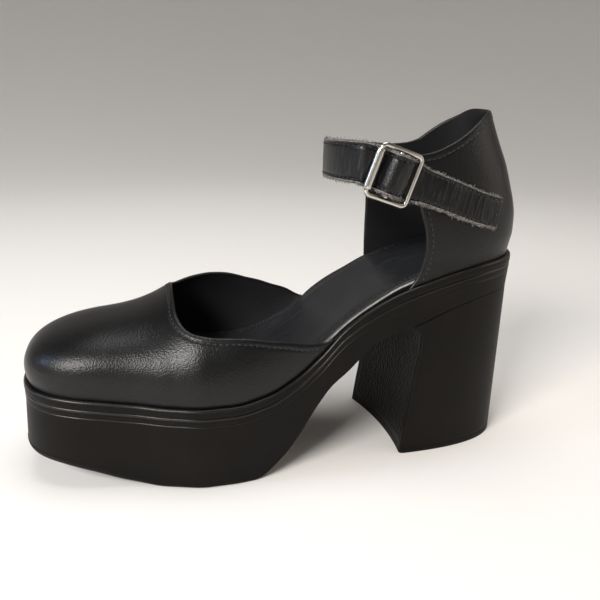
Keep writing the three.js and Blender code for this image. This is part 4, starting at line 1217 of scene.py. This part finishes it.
def sew(name, line, pitch=2.7, length=2.1, width=0.8):
    """Stitches along a line of places and outward directions, in millimetres."""
    shape = bmesh.new()
    run, wanted = 0.0, pitch / 2
    for (start, out, *_), (end, *_) in zip(line, line[1:]):
        step = (end - start).length
        while step > 0 and wanted < run + step:
            middle = start.lerp(end, (wanted - run) / step)
            ahead = (end - start).normalized()
            up = (out - ahead * out.dot(ahead)).normalized()
            turn = Matrix((ahead, up.cross(ahead), up)).transposed().to_4x4()
            size = Matrix.Diagonal((length / 2000, width / 2000, width * 0.45 / 1000, 1))
            matrix = Matrix.Translation(in_row(middle)) @ turn @ size
            bmesh.ops.create_uvsphere(shape, u_segments=6, v_segments=5, radius=1, matrix=matrix)
            wanted += pitch
        run += step
    return add_piece(name, shape, [thread], crisp=80, outward=False)


def tree_of(piece):
    return BVHTree.FromPolygons(
        [v.co for v in piece.data.vertices], [tuple(p.vertices) for p in piece.data.polygons]
    )


def hugging(tree, spots):
    """The places on a piece nearest to these spots, with its outward directions there."""
    line = []
    for spot in spots:
        near, out, _, _ = tree.find_nearest(in_row(spot))
        line.append((Vector((near.x * 1000 + HEEL_MIDDLE, near.y * 1000, near.z * 1000)), out))
    return line


def inside_edge(edge, surface, depth):
    """An edge moved into its surface, square to its run; surface gives a place on the far side."""
    moved = []
    for i, spot in enumerate(edge):
        ahead = (edge[min(i + 1, len(edge) - 1)] - edge[max(i - 1, 0)]).normalized()
        inward = surface(i) - spot
        inward = (inward - ahead * inward.dot(ahead)).normalized()
        moved.append(spot + inward * depth)
    return moved


def vamp_below(i):
    order = min(20.0, 20 * i / 400)
    side = 1 if order <= THROAT else -1
    r = order / THROAT if side > 0 else (20 - order) / (20 - THROAT)
    return vamp_point(*vamp_spot(side, r, 0.93))


vamp_tree = tree_of(vamp)
topline_row = hugging(vamp_tree, inside_edge(topline_edge, vamp_below, STITCH_INSET)[8:-8])
sew("topline_stitches", topline_row)
quarter_tree = tree_of(quarter)
for name, g, last in (("outer_front_stitches", 1, 0.97), ("inner_front_stitches", -1, 0.97)):
    edge = [on_skin(g, h) for h in spread(0.08, last, 60)]
    inward = [on_skin(g * 0.95, h) for h in spread(0.08, last, 60)]
    row = inside_edge(edge, lambda i: inward[i], STITCH_INSET)
    sew(name, hugging(quarter_tree, row))
edge = [on_skin(g, 1) for g in spread(0.97, -0.97, 160)]
inward = [on_skin(g, 0.96) for g in spread(0.97, -0.97, 160)]
row = inside_edge(edge, lambda i: inward[i], STITCH_INSET)
sew("collar_stitches", hugging(quarter_tree, row))
for number, (across, face) in enumerate([(1, 1), (-1, 1), (1, -1), (-1, -1)]):
    line = []
    for spot, out, side, run in strap_line:
        if 8 < run < strap_line[-1][3] - 2:
            reach, _ = strap_form(run, STRAP_WIDTH / 2 - 1.9, 0)
            line.append((spot + side * across * reach + out * face * STRAP / 2, out * face))
    sew(f"strap_stitches_{number + 1}", line)
spot, out, side = along_line(strap_line, strap_line[-1][3] - 2.2)
line = [(spot + side * a + out * (STRAP / 2 + 0.1), out) for a in spread(-5.6, 5.6, 10)]
sew("strap_end_stitches", line)
insole_tree = tree_of(insole)
for number, inset in enumerate((2.4, 4.0)):
    for side in (1, -1):
        spots = []
        for x in spread(50, 150, 120):
            flat = rim_inset(side * turn_of(x), INSOLE_INSET + inset)
            spots.append(Vector((flat.x, flat.y, insole_z(flat.x))))
        name = f"insole_stitches_{number + 1}_{'outer' if side > 0 else 'inner'}"
        sew(name, hugging(insole_tree, spots), 2.2, 1.7, 0.4)

# Studio: a plain pale paper floor that turns up into a round wall, a key light over the toe's outer side, a
# soft top light, a small cool window light and a faint warm fill. The floor is a profile spun round.
FLOOR_FLAT = 0.9
FLOOR_BEND = 1.8
FLOOR_TOP = 2.6
shape = bmesh.new()
profile = [shape.verts.new((x, 0, 0)) for x in (0.001, FLOOR_FLAT)]
for a in spread(0, pi / 2, 16)[1:]:
    spot = (FLOOR_FLAT + FLOOR_BEND * sin(a), 0, FLOOR_BEND - FLOOR_BEND * cos(a))
    profile.append(shape.verts.new(spot))
profile.append(shape.verts.new((FLOOR_FLAT + FLOOR_BEND, 0, FLOOR_TOP)))
for start, end in zip(profile, profile[1:]):
    shape.edges.new((start, end))
bmesh.ops.spin(
    shape,
    geom=shape.verts[:] + shape.edges[:],
    axis=(0, 0, 1),
    cent=(0, 0, 0),
    angle=2 * pi,
    steps=64,
    use_merge=True,
)
bmesh.ops.recalc_face_normals(shape, faces=shape.faces)
bmesh.ops.reverse_faces(shape, faces=shape.faces)
mesh = bpy.data.meshes.new("studio_floor")
shape.to_mesh(mesh)
shape.free()
mesh.shade_smooth()
# Paper: plain, matt and nearly white.
paper = bpy.data.materials.new("pale backdrop paper")
paper.use_nodes = True
tree = paper.node_tree
fill(tree, tree.nodes["Principled BSDF"], {"Base Color": linear("#f1eeea"), "Roughness": 0.75})
mesh.materials.append(paper)
floor = bpy.data.objects.new("studio_floor", mesh)
bpy.context.scene.collection.objects.link(floor)


def add_light(name, place, aim, size, power, color):
    light = bpy.data.lights.new(name, "AREA")
    light.shape = "RECTANGLE"
    light.size, light.size_y = size
    light.energy = power
    light.color = linear(color)[:3]
    lamp = bpy.data.objects.new(name, light)
    turn = (Vector(aim) - Vector(place)).to_track_quat("-Z", "Y").to_matrix().to_4x4()
    lamp.matrix_world = Matrix.Translation(place) @ turn
    bpy.context.scene.collection.objects.link(lamp)


add_light("key_light", (0.9, 0.75, 0.8), (0.08, 0, 0.05), (0.55, 0.4), 19, "#fffcf8")
add_light("window_light", (1.15, 0.02, 0.58), (0.17, 0.03, 0.06), (0.16, 0.3), 2.2, "#b9d4ff")
add_light("top_light", (0.0, -0.1, 1.3), (0.05, 0, 0.05), (1.0, 0.8), 9, "#fefdfb")
add_light("fill_light", (-0.9, 0.3, 0.5), (0.0, 0, 0.06), (0.5, 0.8), 1.5, "#fff3e6")
world = bpy.data.worlds.new("studio_air")
world.use_nodes = True
tree = world.node_tree
fill(tree, tree.nodes["Background"], {"Color": linear("#efeeee"), "Strength": 0.06})
bpy.context.scene.world = world
bpy.context.scene.view_settings.view_transform = "Standard"

# Camera: the photograph's place and angle, with its slight roll, at a 39 mm lens on a 36 mm frame.
YAW, PITCH, ROLL = radians(-14.69), radians(18.90), radians(1.53)
look = Vector((sin(YAW) * cos(PITCH), -cos(YAW) * cos(PITCH), -sin(PITCH)))
right = look.cross(Vector((0, 0, 1))).normalized()
up = right.cross(look)
right, up = right * cos(ROLL) + up * sin(ROLL), up * cos(ROLL) - right * sin(ROLL)
lens = bpy.data.cameras.new("photo_camera")
lens.sensor_width = 36.0
lens.lens = 649.6 / 600 * 36
lens.clip_start = 0.01
camera = bpy.data.objects.new("photo_camera", lens)
turn = Matrix((right, up, -look)).transposed().to_4x4()
camera.matrix_world = Matrix.Translation((0.15675, 0.3005, 0.1818)) @ turn
bpy.context.scene.collection.objects.link(camera)
bpy.context.scene.camera = camera
